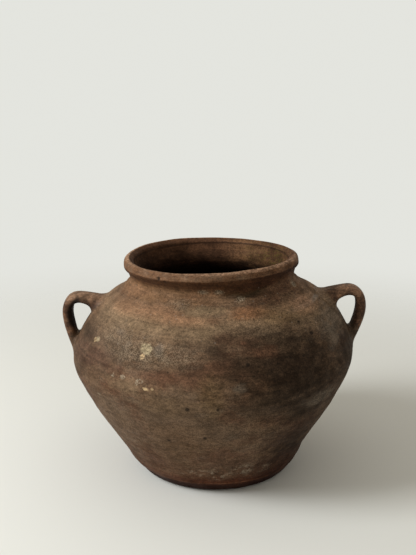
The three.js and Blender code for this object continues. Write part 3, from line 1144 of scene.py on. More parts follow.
# Clouds of colour, each list in the order in which it is laid.
CRUST_PATCHES = (
    Patch(Tint.KHAKI, -34.0, 0.1760, 0.046, 0.0160, 0.62),
    Patch(Tint.KHAKI, -15.0, 0.1760, 0.030, 0.0130, 0.38),
    Patch(Tint.KHAKI, -48.0, 0.1880, 0.030, 0.0120, 0.35),
    Patch(Tint.KHAKI, 17.0, 0.1960, 0.030, 0.0080, 0.12),
    Patch(Tint.KHAKI, -19.0, 0.2170, 0.018, 0.0055, 0.45),
    Patch(Tint.KHAKI, 104.0, 0.1820, 0.060, 0.0180, 0.50),
    Patch(Tint.KHAKI, -165.0, 0.1760, 0.070, 0.0200, 0.55),
)
CLOUDS = (
    Patch(Tint.WARM, -50.0, 0.2070, 0.038, 0.0075, 0.70),
    Patch(Tint.WARM, -26.0, 0.2075, 0.036, 0.0080, 0.85),
    Patch(Tint.WARM, -11.0, 0.2045, 0.022, 0.0060, 0.60),
    Patch(Tint.RUST, 20.0, 0.2090, 0.024, 0.0055, 0.85),
    Patch(Tint.OLIVE, 37.0, 0.2040, 0.034, 0.0100, 0.60),
    Patch(Tint.PINK_TAN, 58.0, 0.2060, 0.036, 0.0100, 0.75),
    Patch(Tint.RIDGE, 60.8, 0.2080, 0.020, 0.0060, 0.85),
    Patch(Tint.TAN, -6.0, 0.2115, 0.026, 0.0050, 0.90),
    Patch(Tint.WARM, -62.0, 0.2210, 0.030, 0.0080, 0.60),
    # Painted sheen: a grey reflection near the right edge of the shoulder.
    Patch(Tint.GREY, 70.0, 0.1850, 0.032, 0.0180, 0.75),
    Patch(Tint.TAN, -40.0, 0.1950, 0.050, 0.0120, 0.60),
    Patch(Tint.TAN, -6.0, 0.1960, 0.030, 0.0090, 0.45),
    Patch(Tint.RED_BROWN, 0.0, 0.2052, 0.008, 0.0040, 0.50),
    Patch(Tint.RED_BROWN, 2.6, 0.1920, 0.010, 0.0060, 0.50),
    Patch(Tint.MAUVE, -53.0, 0.1620, 0.040, 0.0130, 0.85),
    Patch(Tint.MAUVE, -70.0, 0.1560, 0.040, 0.0160, 0.70),
    Patch(Tint.RED_BROWN, -20.0, 0.1570, 0.030, 0.0060, 0.80),
    Patch(Tint.TAN, -34.0, 0.1440, 0.036, 0.0090, 0.45),
    Patch(Tint.RED_BROWN, 4.0, 0.0520, 0.044, 0.0160, 0.62),
    Patch(Tint.SOOT, 8.0, 0.0360, 0.040, 0.0120, 0.26),
    Patch(Tint.RED_BROWN, -30.0, 0.0440, 0.030, 0.0120, 0.45),
    Patch(Tint.RED_BROWN, -62.0, 0.1180, 0.026, 0.0180, 0.55),
    Patch(Tint.OLIVE, -1.0, 0.1400, 0.014, 0.0280, 0.60),
    Patch(Tint.OLIVE, -18.0, 0.1280, 0.034, 0.0160, 0.30),
    Patch(Tint.SOOT, 33.0, 0.1480, 0.062, 0.0320, 0.88),
    Patch(Tint.SOOT, 44.0, 0.1140, 0.050, 0.0260, 0.70),
    Patch(Tint.SOOT, 12.0, 0.1680, 0.042, 0.0220, 0.58),
    Patch(Tint.SOOT, -1.0, 0.1775, 0.011, 0.0070, 0.50),
    Patch(Tint.SOOT, -8.0, 0.1640, 0.014, 0.0100, 0.40),
    Patch(Tint.SOOT, -4.0, 0.1850, 0.034, 0.0100, 0.36),
    Patch(Tint.SOOT, 5.0, 0.1500, 0.026, 0.0170, 0.25),
    Patch(Tint.SOOT, 26.0, 0.1760, 0.046, 0.0180, 0.36),
    Patch(Tint.SOOT, 13.0, 0.1890, 0.032, 0.0130, 0.36),
    Patch(Tint.RED_BROWN, 11.0, 0.1860, 0.024, 0.0120, 0.50),
    Patch(Tint.SOOT, 43.0, 0.1930, 0.022, 0.0090, 0.24),
    Patch(Tint.SOOT, 16.0, 0.1270, 0.038, 0.0180, 0.48),
    Patch(Tint.SOOT, 38.0, 0.1120, 0.032, 0.0180, 0.46),
    Patch(Tint.SOOT, 68.0, 0.1480, 0.040, 0.0260, 0.70),
    Patch(Tint.SOOT, 20.0, 0.1900, 0.046, 0.0090, 0.34),
    Patch(Tint.SOOT, 22.0, 0.1810, 0.040, 0.0140, 0.16),
    Patch(Tint.RED_BROWN, 21.0, 0.1780, 0.014, 0.0070, 0.70),
    # Painted sheen: grey reflections near the right edge of the belly and shoulder.
    Patch(Tint.GREY, 48.0, 0.1160, 0.030, 0.0090, 0.50),
    Patch(Tint.GREY, 58.0, 0.1790, 0.018, 0.0200, 0.60),
    Patch(Tint.SOOT, 46.0, 0.1690, 0.022, 0.0120, 0.42),
    Patch(Tint.GREY, 9.0, 0.1470, 0.007, 0.0050, 0.60),
    Patch(Tint.HAZE, -23.4, 0.1800, 0.006, 0.0080, 0.40),
    Patch(Tint.HAZE, -46.0, 0.1884, 0.009, 0.0040, 0.30),
    Patch(Tint.HAZE, -38.3, 0.1806, 0.006, 0.0040, 0.22),
    Patch(Tint.MAUVE, 40.0, 0.0700, 0.044, 0.0260, 0.85),
    Patch(Tint.SOOT, 42.0, 0.0680, 0.044, 0.0240, 0.64),
    Patch(Tint.SOOT, 48.0, 0.0440, 0.036, 0.0180, 0.66),
    Patch(Tint.GREY_BROWN, -48.0, 0.0820, 0.050, 0.0240, 0.80),
    # Dark green clay on the neck's right, spread wide to carry painted shade under the lip as well.
    Patch(Tint.GREEN_DARK, 27.0, 0.2255, 0.028, 0.0062, 0.95),
    Patch(Tint.RED_BROWN, 46.0, 0.2240, 0.036, 0.0080, 0.60),
    Patch(Tint.GREEN_DARK, 23.0, 0.2275, 0.026, 0.0050, 0.75),
    # Painted shadow under the lip on the neck's right side.
    Patch(Tint.UNDER_LIP, 16.0, 0.2300, 0.030, 0.0060, 0.75),
    Patch(Tint.UNDER_LIP, 33.0, 0.2315, 0.030, 0.0060, 0.80),
    Patch(Tint.DEEP_RED, 29.0, 0.2320, 0.034, 0.0060, 0.48),
    Patch(Tint.SOOT, 128.0, 0.1500, 0.080, 0.0320, 0.70),
    Patch(Tint.SOOT, -128.0, 0.1350, 0.060, 0.0300, 0.55),
    Patch(Tint.WARM, 130.0, 0.2050, 0.060, 0.0080, 0.60),
    Patch(Tint.WARM, -135.0, 0.2060, 0.070, 0.0080, 0.65),
    Patch(Tint.MAUVE, 178.0, 0.1050, 0.070, 0.0280, 0.70),
)
BLOOM_PATCHES = (
    Patch(Tint.BLOOM, 1.5, 0.0290, 0.014, 0.0090, 0.95),
    Patch(Tint.BLOOM, 16.0, 0.0330, 0.014, 0.0100, 1.00),
    Patch(Tint.BLOOM, 30.0, 0.0300, 0.012, 0.0070, 0.45),
    Patch(Tint.BLOOM, -13.0, 0.0310, 0.020, 0.0090, 0.50),
    Patch(Tint.BLOOM, 140.0, 0.0300, 0.040, 0.0090, 0.70),
    Patch(Tint.BLOOM, -120.0, 0.0290, 0.030, 0.0080, 0.65),
)
SCABS = (
    Patch(Tint.KHAKI, -6.0, 0.2290, 0.0058, 0.0027, 0.85),
    Patch(Tint.KHAKI, 4.3, 0.2288, 0.0054, 0.0025, 0.85),
    Patch(Tint.ASH, 16.9, 0.2197, 0.0058, 0.0030, 0.55),
    Patch(Tint.ASH, 67.8, 0.2209, 0.0060, 0.0030, 0.75),
)
PITS = (
    Patch(Tint.PIT, 19.7, 0.2046, 0.0016, 0.0012, 0.8),
    Patch(Tint.PIT, 42.5, 0.1960, 0.0022, 0.0012, 0.85),
    Patch(Tint.PIT, 46.0, 0.1840, 0.0024, 0.0013, 0.85),
    Patch(Tint.PIT, 12.5, 0.1682, 0.0022, 0.0018, 0.95),
    Patch(Tint.PIT, -9.7, 0.1251, 0.0022, 0.0026, 0.85),
    Patch(Tint.PIT, 1.5, 0.1254, 0.0016, 0.0020, 0.75),
    Patch(Tint.PIT, -4.0, 0.0873, 0.0018, 0.0020, 0.75),
    Patch(Tint.PIT, -20.4, 0.0805, 0.0024, 0.0022, 0.75),
    Patch(Tint.RED_BROWN, 11.8, 0.1868, 0.0030, 0.0022, 0.80),
)


@dataclass(frozen=True)
class Ramp:
    """An ease from a low to a high strength, as a value goes from its start to its end."""

    start: float
    end: float
    low: float = 0.0
    high: float = 1.0


@dataclass(frozen=True)
class Cloudiness:
    """A cloudy noise: its stretch across and up the wall, its scale, its detail and its roughness."""

    across: float
    up: float
    scale: float
    detail: float
    roughness: float


@dataclass(frozen=True)
class Strewing:
    """Small round spots strewn over the wall: how many to a metre, the share left out, the strength."""

    pitch: float
    rarity: float
    strength: float
    edge: float = 0.05
    size: Ramp = Ramp(0.20, 0.09)


class Graph:
    """Short calls that build a material's nodes, with the coordinates and noises all finishes share."""

    speckle_noise: Cloudiness = Cloudiness(1.0, 1.25, 760.0, 3.0, 0.60)
    fine_noise: Cloudiness = Cloudiness(1.0, 1.6, 260.0, 4.0, 0.60)
    mottle_noise: Cloudiness = Cloudiness(1.0, 1.8, 62.0, 4.0, 0.60)
    wide_noise: Cloudiness = Cloudiness(1.0, 1.9, 8.5, 3.0, 0.50)
    wheel_noise: Cloudiness = Cloudiness(5.0, 400.0, 1.0, 3.0, 0.60)
    band_noise: Cloudiness = Cloudiness(6.0, 95.0, 1.0, 3.0, 0.55)
    edge_noise: Cloudiness = Cloudiness(1.0, 2.2, 75.0, 4.0, 0.65)

    def __init__(self, name: str, settling: Settling) -> None:
        """Starts a material of that name.

        Args:
            name: The material's name.
            settling: How the jar leans, so that heights follow its rings.
        """
        self.material = bpy.data.materials.new(name)
        self.material.use_nodes = True
        self.nodes = self.material.node_tree.nodes
        self.links = self.material.node_tree.links
        self.shader = self.nodes["Principled BSDF"]
        self.place: Socket = self.nodes.new("ShaderNodeTexCoord").outputs["Object"]
        parts = self.nodes.new("ShaderNodeSeparateXYZ")
        self.put(self.place, parts.inputs[0])
        self.side: Socket = parts.outputs["X"]
        self.depth: Socket = parts.outputs["Y"]
        leaning = self.ramp(parts.outputs["Z"], Ramp(0.0, settling.lean_start))
        drop = self.times(leaning, self.side, math.sin(settling.lean))
        self.height = self.math("SUBTRACT", parts.outputs["Z"], drop)
        self.speckle = self.noise(self.speckle_noise)
        self.fine = self.noise(self.fine_noise)
        self.mottle = self.noise(self.mottle_noise)
        self.wide = self.noise(self.wide_noise)
        self.wheel = self.noise(self.wheel_noise)
        self.band = self.noise(self.band_noise)
        self.edge = self.noise(self.edge_noise)

    def put(self, value: "Socket | float | Colour", target: Socket) -> None:
        """Links a socket to an input, or sets the input's own value."""
        if isinstance(value, bpy.types.NodeSocket):
            self.links.new(value, target)
        elif isinstance(value, tuple) and target.type == "RGBA":
            target.default_value = (*value, 1.0)
        else:
            target.default_value = value

    def math(self, operation: str, first: "Socket | float", second: "Socket | float" = 0.0) -> Socket:
        """Joins one or two numbers."""
        node = self.nodes.new("ShaderNodeMath")
        node.operation = operation
        self.put(first, node.inputs[0])
        self.put(second, node.inputs[1])
        return node.outputs["Value"]

    def times(self, *values: "Socket | float") -> Socket:
        """Multiplies two numbers or more."""
        product, *others = values
        for value in others:
            product = self.math("MULTIPLY", product, value)
        return product

    def vector(self, operation: str, *values: "Socket | Colour") -> bpy.types.Node:
        """Joins vectors and gives the node, whose outputs are Vector and Value."""
        node = self.nodes.new("ShaderNodeVectorMath")
        node.operation = operation
        for value, target in zip(values, node.inputs):
            self.put(value, target)
        return node

    def noise(self, clouds: Cloudiness) -> Socket:
        """Gives cloudy noise, about half in the middle."""
        node = self.nodes.new("ShaderNodeTexNoise")
        stretch = (clouds.across, clouds.across, clouds.up)
        self.put(self.vector("MULTIPLY", self.place, stretch).outputs["Vector"], node.inputs["Vector"])
        node.inputs["Scale"].default_value = clouds.scale
        node.inputs["Detail"].default_value = clouds.detail
        node.inputs["Roughness"].default_value = clouds.roughness
        return node.outputs["Fac"]

    def ramp(self, value: Socket, ramp: Ramp) -> Socket:
        """Eases between a ramp's two strengths by a value."""
        node = self.nodes.new("ShaderNodeMapRange")
        node.interpolation_type = "SMOOTHSTEP"
        self.put(value, node.inputs["Value"])
        node.inputs["From Min"].default_value = ramp.start
        node.inputs["From Max"].default_value = ramp.end
        node.inputs["To Min"].default_value = ramp.low
        node.inputs["To Max"].default_value = ramp.high
        return node.outputs["Result"]

    def share(self, *strengths: tuple[Socket, Ramp]) -> Socket:
        """Multiplies the strengths that several values have on their ramps."""
        return self.times(*(self.ramp(value, ramp) for value, ramp in strengths))

    def mix(self, share: "Socket | float", first: "Socket | Colour", second: "Socket | Colour",
            blend: str = "MIX") -> Socket:
        """Mixes two colours."""
        node = self.nodes.new("ShaderNodeMix")
        node.data_type = "RGBA"
        node.blend_type = blend
        self.put(share, node.inputs[MIX_SHARE])
        self.put(first, node.inputs[MIX_FIRST])
        self.put(second, node.inputs[MIX_SECOND])
        return node.outputs[MIX_RESULT]

    def lay(self, colour: Socket, tint: Tint, share: "Socket | float") -> Socket:
        """Lays a tint over a colour."""
        return self.mix(share, colour, tint.value)

    def between(self, share: Socket, first: Tint, second: Tint) -> Socket:
        """Mixes two tints."""
        return self.mix(share, first.value, second.value)

    def torn(self, value: Socket, noise: Socket, reach: float) -> Socket:
        """Moves a value to and fro by a noise, over a reach."""
        return self.math("ADD", value, self.times(self.math("SUBTRACT", noise, NOISE_MIDDLE), reach))

    def off(self, value: Socket, middle: float) -> Socket:
        """Gives how far a value is off a middle, either way."""
        return self.math("ABSOLUTE", self.math("SUBTRACT", value, middle))

    def radius(self) -> Socket:
        """Gives the distance from the wheel's axis."""
        flat = self.vector("MULTIPLY", self.place, (1.0, 1.0, 0.0)).outputs["Vector"]
        return self.vector("LENGTH", flat).outputs["Value"]


@dataclass(frozen=True)
class ClayFinish:
    """Aged terracotta: what the outside of the jar shares, laid in layers on the frame's coordinates."""

    name: str
    outline: BodyOutline
    settling: Settling
    grey_share: Ramp = Ramp(0.35, 0.65)
    red_drift: Cloudiness = Cloudiness(1.0, 1.5, 17.0, 4.0, 0.60)
    red_share: Ramp = Ramp(0.50, 0.68, 0.0, 0.80)
    olive_share: Ramp = Ramp(0.50, 0.75, 0.0, 0.12)
    swing: Ramp = Ramp(0.32, 0.68, -1.0, 1.0)
    mottle_by_side: Ramp = Ramp(-0.08, 0.08, 0.15, 0.25)
    fine_shade: Ramp = Ramp(0.32, 0.68, 0.78, 1.22)
    wheel_swing: Ramp = Ramp(0.32, 0.68, -0.16, 0.16)
    wheel_by_height: Ramp = Ramp(0.080, 0.170, 0.25, 1.0)
    drips: Cloudiness = Cloudiness(1.0, 0.22, 60.0, 4.0, 0.60)
    drip_shade: Ramp = Ramp(0.32, 0.68, 0.90, 1.10)
    grain_by_side: Ramp = Ramp(-0.06, 0.10, 0.26, 0.50)
    patch_whole: float = 0.25
    patch_end: float = 1.35
    patch_tear: float = 1.95
    roughness: Ramp = Ramp(0.30, 0.70, 0.88, 0.62)
    sheen: float = 0.10
    dust: float = 0.005
    speckle_bump: float = 0.6
    wheel_bump: float = 0.7
    bump_strength: float = 0.8
    bump_height: float = 0.00032

    def material(self) -> bpy.types.Material:
        """Lays the layers and gives the finished material."""
        graph = Graph(self.name, self.settling)
        colour = self._grained(graph, self.layers(graph, self._ground(graph)))
        graph.put(colour, graph.shader.inputs["Base Color"])
        self._surface(graph)
        return graph.material

    def _ground(self, graph: Graph) -> Socket:
        """Mixes the plain browns of the fired clay."""
        colour = graph.between(graph.ramp(graph.wide, self.grey_share), Tint.BROWN, Tint.GREY_BROWN)
        red = graph.ramp(graph.noise(self.red_drift), self.red_share)
        colour = graph.lay(colour, Tint.RED_BROWN, red)
        return graph.lay(colour, Tint.OLIVE, graph.ramp(graph.band, self.olive_share))

    def layers(self, graph: Graph, colour: Socket) -> Socket:
        """Lays what this finish carries over the ground; each finish has its own."""
        return colour

    def patch_mask(self, graph: Graph, patch: Patch, whole: float, at: Vector | None = None) -> Socket:
        """Masks a patch with a ragged edge.

        Args:
            graph: The material's graph.
            patch: The patch.
            whole: The share of its reach over which it is whole.
            at: Its middle on the straight jar, where that lies off the body's outline.

        Returns:
            The mask, up to the patch's strength.
        """
        place = self.outline.spot(patch.azimuth, patch.height) if at is None else at
        middle = self.settling.settled(place)
        inverse = (1.0 / patch.along, 1.0 / patch.along, 1.0 / patch.up)
        start = tuple(-away * factor for away, factor in zip(middle, inverse))
        away = graph.vector("MULTIPLY_ADD", graph.place, inverse, start).outputs["Vector"]
        away = graph.vector("LENGTH", away).outputs["Value"]
        torn = graph.torn(away, graph.edge, self.patch_tear)
        return graph.ramp(torn, Ramp(whole, self.patch_end, patch.strength, 0.0))

    def _grained(self, graph: Graph, colour: Socket) -> Socket:
        """Varies the colour by mottling, wheel lines, drips and grain."""
        swings = (
            graph.share((graph.mottle, self.swing), (graph.side, self.mottle_by_side)),
            graph.share((graph.wheel, self.wheel_swing), (graph.height, self.wheel_by_height)),
            graph.share((graph.speckle, self.swing), (graph.side, self.grain_by_side)),
        )
        shades = [graph.math("ADD", swing, 1.0) for swing in swings]
        shades.append(graph.ramp(graph.fine, self.fine_shade))
        shades.append(graph.ramp(graph.noise(self.drips), self.drip_shade))
        return graph.mix(1.0, colour, graph.times(*shades), "MULTIPLY")

    def _surface(self, graph: Graph) -> None:
        """Sets the roughness and the fine bump."""
        inputs = graph.shader.inputs
        graph.put(graph.ramp(graph.mottle, self.roughness), inputs["Roughness"])
        graph.put(self.sheen, inputs["Specular IOR Level"])
        graph.put(self.dust, inputs["Sheen Weight"])
        relief = graph.math("ADD", graph.times(graph.speckle, self.speckle_bump), graph.fine)
        relief = graph.math("ADD", relief, graph.times(graph.wheel, self.wheel_bump))
        bump = graph.nodes.new("ShaderNodeBump")
        bump.inputs["Strength"].default_value = self.bump_strength
        bump.inputs["Distance"].default_value = self.bump_height
        graph.put(relief, bump.inputs["Height"])
        graph.put(bump.outputs["Normal"], inputs["Normal"])


@dataclass(frozen=True)
class WallFinish(ClayFinish):
    """The body's skin: warm shoulder, grey crust, soot, chips, bloom and the bare red foot, with painted
    shade, painted highlights and painted sheen.
    """

    crust_speckle: Ramp = Ramp(0.42, 0.60)
    bloom_flecks: Ramp = Ramp(0.46, 0.58)
    bloom_grain: Ramp = Ramp(0.38, 0.58, 0.25, 1.0)
    scab_speckle: Ramp = Ramp(0.42, 0.58)
    ring_tear: float = 0.016
    warm_rise: Ramp = Ramp(0.196, 0.206)
    warm_fall: Ramp = Ramp(0.216, 0.209)
    warm_share: Ramp = Ramp(0.30, 0.60, 0.15, 0.60)
    tan_rise: Ramp = Ramp(0.176, 0.196)
    tan_fall: Ramp = Ramp(0.214, 0.204, 0.0, 0.45)
    smoke: Cloudiness = Cloudiness(1.0, 1.7, 11.0, 4.0, 0.55)
    smoke_share: Ramp = Ramp(0.54, 0.70, 0.0, 0.65)
    smoke_rise: Ramp = Ramp(0.060, 0.130)
    smoke_fall: Ramp = Ramp(0.200, 0.175)
    # Soot and painted shade on the right front, the side away from the light.
    soot_and_shade_toward: tuple[float, float, float] = (0.87, -0.50, 0.0)
    soot_and_shade_tear: float = 0.050
    soot_and_shade_share: Ramp = Ramp(0.085, 0.145, 0.0, 0.52)
    soot_and_shade_fall: Ramp = Ramp(0.196, 0.164)
    soot_and_shade_rise: Ramp = Ramp(0.015, 0.050)
    ash: Cloudiness = Cloudiness(1.0, 2.0, 34.0, 5.0, 0.70)
    ash_share: Ramp = Ramp(0.56, 0.74, 0.0, 0.45)
    neck_rise: Ramp = Ramp(0.211, 0.219)
    neck_share: Ramp = Ramp(0.30, 0.62, 0.95, 0.55)
    # The neck's brown fades to the right under painted shade.
    neck_shade_by_side: Ramp = Ramp(-0.05, 0.04, 1.0, 0.22)
    # A painted highlight along the shoulder ring on the right.
    highlight_ring: float = 0.2052
    highlight_width: Ramp = Ramp(0.0020, 0.0008)
    highlight_by_side: Ramp = Ramp(0.070, 0.095, 0.0, 0.75)
    highlight_by_depth: Ramp = Ramp(0.018, 0.030)
    # Painted shadow on the neck under the lip.
    under_lip: Ramp = Ramp(0.2258, 0.2345, 0.0, 0.95)
    foot_tear: float = 0.014
    foot_brown: Ramp = Ramp(0.045, 0.028, 0.0, 0.55)
    foot_red: Ramp = Ramp(0.028, 0.016, 0.0, 0.97)
    foot_worn: Ramp = Ramp(0.028, 0.016)
    worn_by_side: Ramp = Ramp(-0.010, -0.070, 0.0, 0.60)
    # Painted shade on the foot's right side.
    foot_shade: Ramp = Ramp(0.060, 0.035)
    shade_by_side: Ramp = Ramp(0.010, 0.060, 0.0, 0.66)
    foot_line: float = 0.0140
    foot_line_width: Ramp = Ramp(0.0011, 0.0003)
    foot_line_share: Ramp = Ramp(0.35, 0.60, 0.20, 0.75)
    # Painted shade along the standing edge.
    foot_edge_shade: Ramp = Ramp(0.0160, 0.0080, 0.0, 0.92)
    flake_grain: Cloudiness = Cloudiness(1.0, 1.0, 520.0, 3.0, 0.60)
    flake_whole: float = 0.75
    faint_flake: Ramp = Ramp(0.42, 0.58)
    faint_strength: float = 0.70
    full_flake: Ramp = Ramp(0.42, 0.58, 0.45, 1.0)
    full_strength: float = 0.92
    pit_whole: float = 0.50
    small_pits: Strewing = Strewing(190.0, 0.50, 0.60)
    pale_specks: Strewing = Strewing(150.0, 0.70, 0.30)
    speck_rise: Ramp = Ramp(0.168, 0.182)
    shoulder_start: float = 0.2964
    shoulder_slope: float = 0.875
    belly_radius: float = 0.1590
    wad_edge: Ramp = Ramp(0.004, 0.012)
    strap_streak: Cloudiness = Cloudiness(1.0, 0.5, 120.0, 4.0, 0.60)
    streak_share: Ramp = Ramp(0.38, 0.62)
    rubbed_share: Ramp = Ramp(0.52, 0.72, 0.0, 0.75)
    # Painted shade round the finger holes: where the holes are, and how deep the shade is on each handle.
    hole_side: float = 0.153
    hole_stretch: float = 1.35
    hole_height: float = 0.1840
    hole_shade_edge: Ramp = Ramp(0.0225, 0.0175)
    left_inner_shade: Ramp = Ramp(-0.147, -0.157, 0.0, 0.95)
    right_inner_shade: Ramp = Ramp(0.159, 0.148, 0.0, 0.85)
    right_half: Ramp = Ramp(0.0, 0.05)
    least_inner_shade: float = 0.30
    # A painted highlight on the straps' tops, strongest on the left handle.
    lit_strap_top: Ramp = Ramp(0.194, 0.205)
    lit_top_by_side: Ramp = Ramp(0.10, -0.10, 0.30, 0.80)
    lit_top_streak: Ramp = Ramp(0.30, 0.70)

    def layers(self, graph: Graph, colour: Socket) -> Socket:
        """Lays the body's wear from the widest clouds to the smallest pits."""
        colour = self._all_round(graph, colour)
        for patch in CLOUDS:
            colour = graph.lay(colour, patch.tint, self.patch_mask(graph, patch, self.patch_whole))
        colour = self._crusted(graph, colour, CRUST_PATCHES, self.crust_speckle)
        colour = self._foot(graph, colour)
        bloom = graph.share((graph.edge, self.bloom_flecks), (graph.fine, self.bloom_grain))
        for patch in BLOOM_PATCHES:
            mask = graph.times(self.patch_mask(graph, patch, self.patch_whole), bloom)
            colour = graph.lay(colour, patch.tint, mask)
        colour = self._crusted(graph, colour, SCABS, self.scab_speckle)
        return self._handles(graph, self._spots(graph, colour))

    def _crusted(self, graph: Graph, colour: Socket, patches: tuple[Patch, ...], speckles: Ramp) -> Socket:
        """Lays patches of crust that are speckled dark.

        Args:
            graph: The material's graph.
            colour: The colour below.
            patches: The patches, in order.
            speckles: How much of the crust's own tint shows between the speckles.

        Returns:
            The crusted colour.
        """
        speckle = graph.ramp(graph.speckle, speckles)
        for patch in patches:
            crust = graph.between(speckle, Tint.KHAKI_DARK, patch.tint)
            colour = graph.mix(self.patch_mask(graph, patch, self.patch_whole), colour, crust)
        return colour

    def _all_round(self, graph: Graph, colour: Socket) -> Socket:
        """Lays the bands and soot that run all round the jar, with painted shade on the right front, on
        the neck and under the lip, and a painted highlight on the right shoulder's ring.
        """
        height = graph.torn(graph.height, graph.edge, self.ring_tear)
        warm = graph.share(
            (height, self.warm_rise),
            (height, self.warm_fall),
            (graph.wide, self.warm_share),
        )
        colour = graph.lay(colour, Tint.PINK_TAN, warm)
        tan = graph.share((height, self.tan_rise), (height, self.tan_fall))
        colour = graph.lay(colour, Tint.TAN, tan)
        smoke = graph.share(
            (graph.noise(self.smoke), self.smoke_share),
            (height, self.smoke_rise),
            (height, self.smoke_fall),
        )
        colour = graph.lay(colour, Tint.SOOT, smoke)
        # Soot and painted shade on the right front, the side away from the light.
        soot = graph.vector("DOT_PRODUCT", graph.place, self.soot_and_shade_toward).outputs["Value"]
        soot = graph.torn(soot, graph.edge, self.soot_and_shade_tear)
        soot = graph.share((soot, self.soot_and_shade_share), (height, self.soot_and_shade_fall), (height, self.soot_and_shade_rise))
        colour = graph.lay(colour, Tint.SOOT, soot)
        colour = graph.lay(colour, Tint.GREY, graph.ramp(graph.noise(self.ash), self.ash_share))
        # The neck's warm brown fades out towards the right: painted shade under the lip on the side away
        # from the light.
        neck = graph.share(
            (height, self.neck_rise),
            (graph.wide, self.neck_share),
            (graph.side, self.neck_shade_by_side),
        )
        colour = graph.lay(colour, Tint.NECK, neck)
        # A painted highlight: a pale line along the shoulder ring on the right side, where the ring
        # catches the light.
        ring = graph.share(
            (graph.off(graph.height, self.highlight_ring), self.highlight_width),
            (graph.side, self.highlight_by_side),
            (graph.math("ABSOLUTE", graph.depth), self.highlight_by_depth),
        )
        colour = graph.lay(colour, Tint.HAZE, ring)
        # Painted shadow on the neck under the lip.
        return graph.lay(colour, Tint.UNDER_LIP, graph.ramp(graph.height, self.under_lip))

    def _foot(self, graph: Graph, colour: Socket) -> Socket:
        """Lays the bare red band, its light ridge, painted shade on its right side and painted shade along
        the foot's standing edge.
        """
        torn = graph.torn(graph.height, graph.edge, self.foot_tear)
        colour = graph.lay(colour, Tint.RED_BROWN, graph.ramp(torn, self.foot_brown))
        colour = graph.lay(colour, Tint.BARE_RED, graph.ramp(torn, self.foot_red))
        worn = graph.share((torn, self.foot_worn), (graph.side, self.worn_by_side))
        colour = graph.lay(colour, Tint.RED_BROWN, worn)
        # Painted shade on the foot's right side, away from the light.
        shade = graph.share((torn, self.foot_shade), (graph.side, self.shade_by_side))
        colour = graph.lay(colour, Tint.DEEP_RED, shade)
        line = graph.off(graph.height, self.foot_line)
        line = graph.share((line, self.foot_line_width), (graph.mottle, self.foot_line_share))
        colour = graph.lay(colour, Tint.FOOT_LINE, line)
        # Painted shade along the standing edge.
        return graph.lay(colour, Tint.DEEP_RED, graph.ramp(graph.height, self.foot_edge_shade))

    def _spots(self, graph: Graph, colour: Socket) -> Socket:
        """Lays the flaked chips, the listed pits and the small pits and specks all round."""
        broken = graph.noise(self.flake_grain)
        for chip in CHIPS:
            faint = chip.tint is Tint.ASH
            strength = self.faint_strength if faint else self.full_strength
            along = chip.radius * chip.length
            patch = Patch(chip.tint, chip.azimuth, chip.height, along, chip.radius, strength)
            grain = graph.ramp(broken, self.faint_flake if faint else self.full_flake)
            flake = graph.times(self.patch_mask(graph, patch, self.flake_whole), grain)
            colour = graph.lay(colour, chip.tint, flake)
        for patch in PITS:
            colour = graph.lay(colour, patch.tint, self.patch_mask(graph, patch, self.pit_whole))
        colour = graph.lay(colour, Tint.PIT, self._strewn(graph, self.small_pits))
        pale = self._strewn(graph, self.pale_specks)
        pale = graph.times(pale, graph.ramp(graph.height, self.speck_rise))
        return graph.lay(colour, Tint.HAZE, pale)

    def _strewn(self, graph: Graph, spots: Strewing) -> Socket:
        """Masks small round spots that are strewn all over the wall.

        Args:
            graph: The material's graph.
            spots: How the spots lie.

        Returns:
            The mask, up to the spots' strength.
        """
        cells = graph.nodes.new("ShaderNodeTexVoronoi")
        graph.put(graph.place, cells.inputs["Vector"])
        cells.inputs["Scale"].default_value = spots.pitch
        draw = graph.vector("DOT_PRODUCT", cells.outputs["Color"], (1.0, 0.0, 0.0)).outputs["Value"]
        chosen = Ramp(spots.rarity, spots.rarity + spots.edge, 0.0, spots.strength)
        return graph.share((cells.outputs["Distance"], spots.size), (draw, chosen))

    def _handles(self, graph: Graph, colour: Socket) -> Socket:
        """Turns the skin to the handles' brown where a wad leaves the body."""
        fall = graph.times(graph.height, self.shoulder_slope)
        shoulder = graph.math("SUBTRACT", self.shoulder_start, fall)
        body = graph.math("MINIMUM", shoulder, self.belly_radius)
        gap = graph.math("SUBTRACT", graph.radius(), body)
        return graph.mix(graph.ramp(gap, self.wad_edge), colour, self._strap_colour(graph))

    def _strap_colour(self, graph: Graph) -> Socket:
        """Mixes the handles' hand-rubbed brown, with a painted highlight on the straps' tops and painted
        shade on the faces round the finger holes.
        """
        streak = graph.noise(self.strap_streak)
        colour = graph.between(graph.ramp(streak, self.streak_share), Tint.HANDLE_DARK, Tint.HANDLE)
        colour = graph.lay(colour, Tint.RUBBED, graph.ramp(graph.mottle, self.rubbed_share))
        # Painted shade on the faces round the finger holes, darkest on the faces turned away from the
        # light.
        out = graph.math("SUBTRACT", graph.math("ABSOLUTE", graph.side), self.hole_side)
        out = graph.times(out, self.hole_stretch)
        up = graph.math("SUBTRACT", graph.height, self.hole_height)
        away = graph.math("SQRT", graph.math("ADD", graph.times(out, out), graph.times(up, up)))
        right = graph.share((graph.side, self.right_inner_shade), (graph.side, self.right_half))
        share = graph.math("ADD", graph.ramp(graph.side, self.left_inner_shade), right)
        share = graph.math("MAXIMUM", share, self.least_inner_shade)
        # A painted highlight on the straps' tops, strongest on the left handle, which faces the light.
        top = graph.share((graph.height, self.lit_strap_top), (graph.side, self.lit_top_by_side))
        lit = graph.between(graph.ramp(streak, self.lit_top_streak), Tint.BROWN, Tint.RIDGE)
        colour = graph.mix(top, colour, lit)
        return graph.lay(colour, Tint.HANDLE_INNER, graph.times(graph.ramp(away, self.hole_shade_edge), share))


@dataclass(frozen=True)
class HandleFinish(WallFinish):
    """The handles' hand-rubbed brown clay, which takes up the wall's colours where it joins the body."""

    roughness: Ramp = Ramp(0.30, 0.70, 0.76, 0.50)
    sheen: float = 0.20


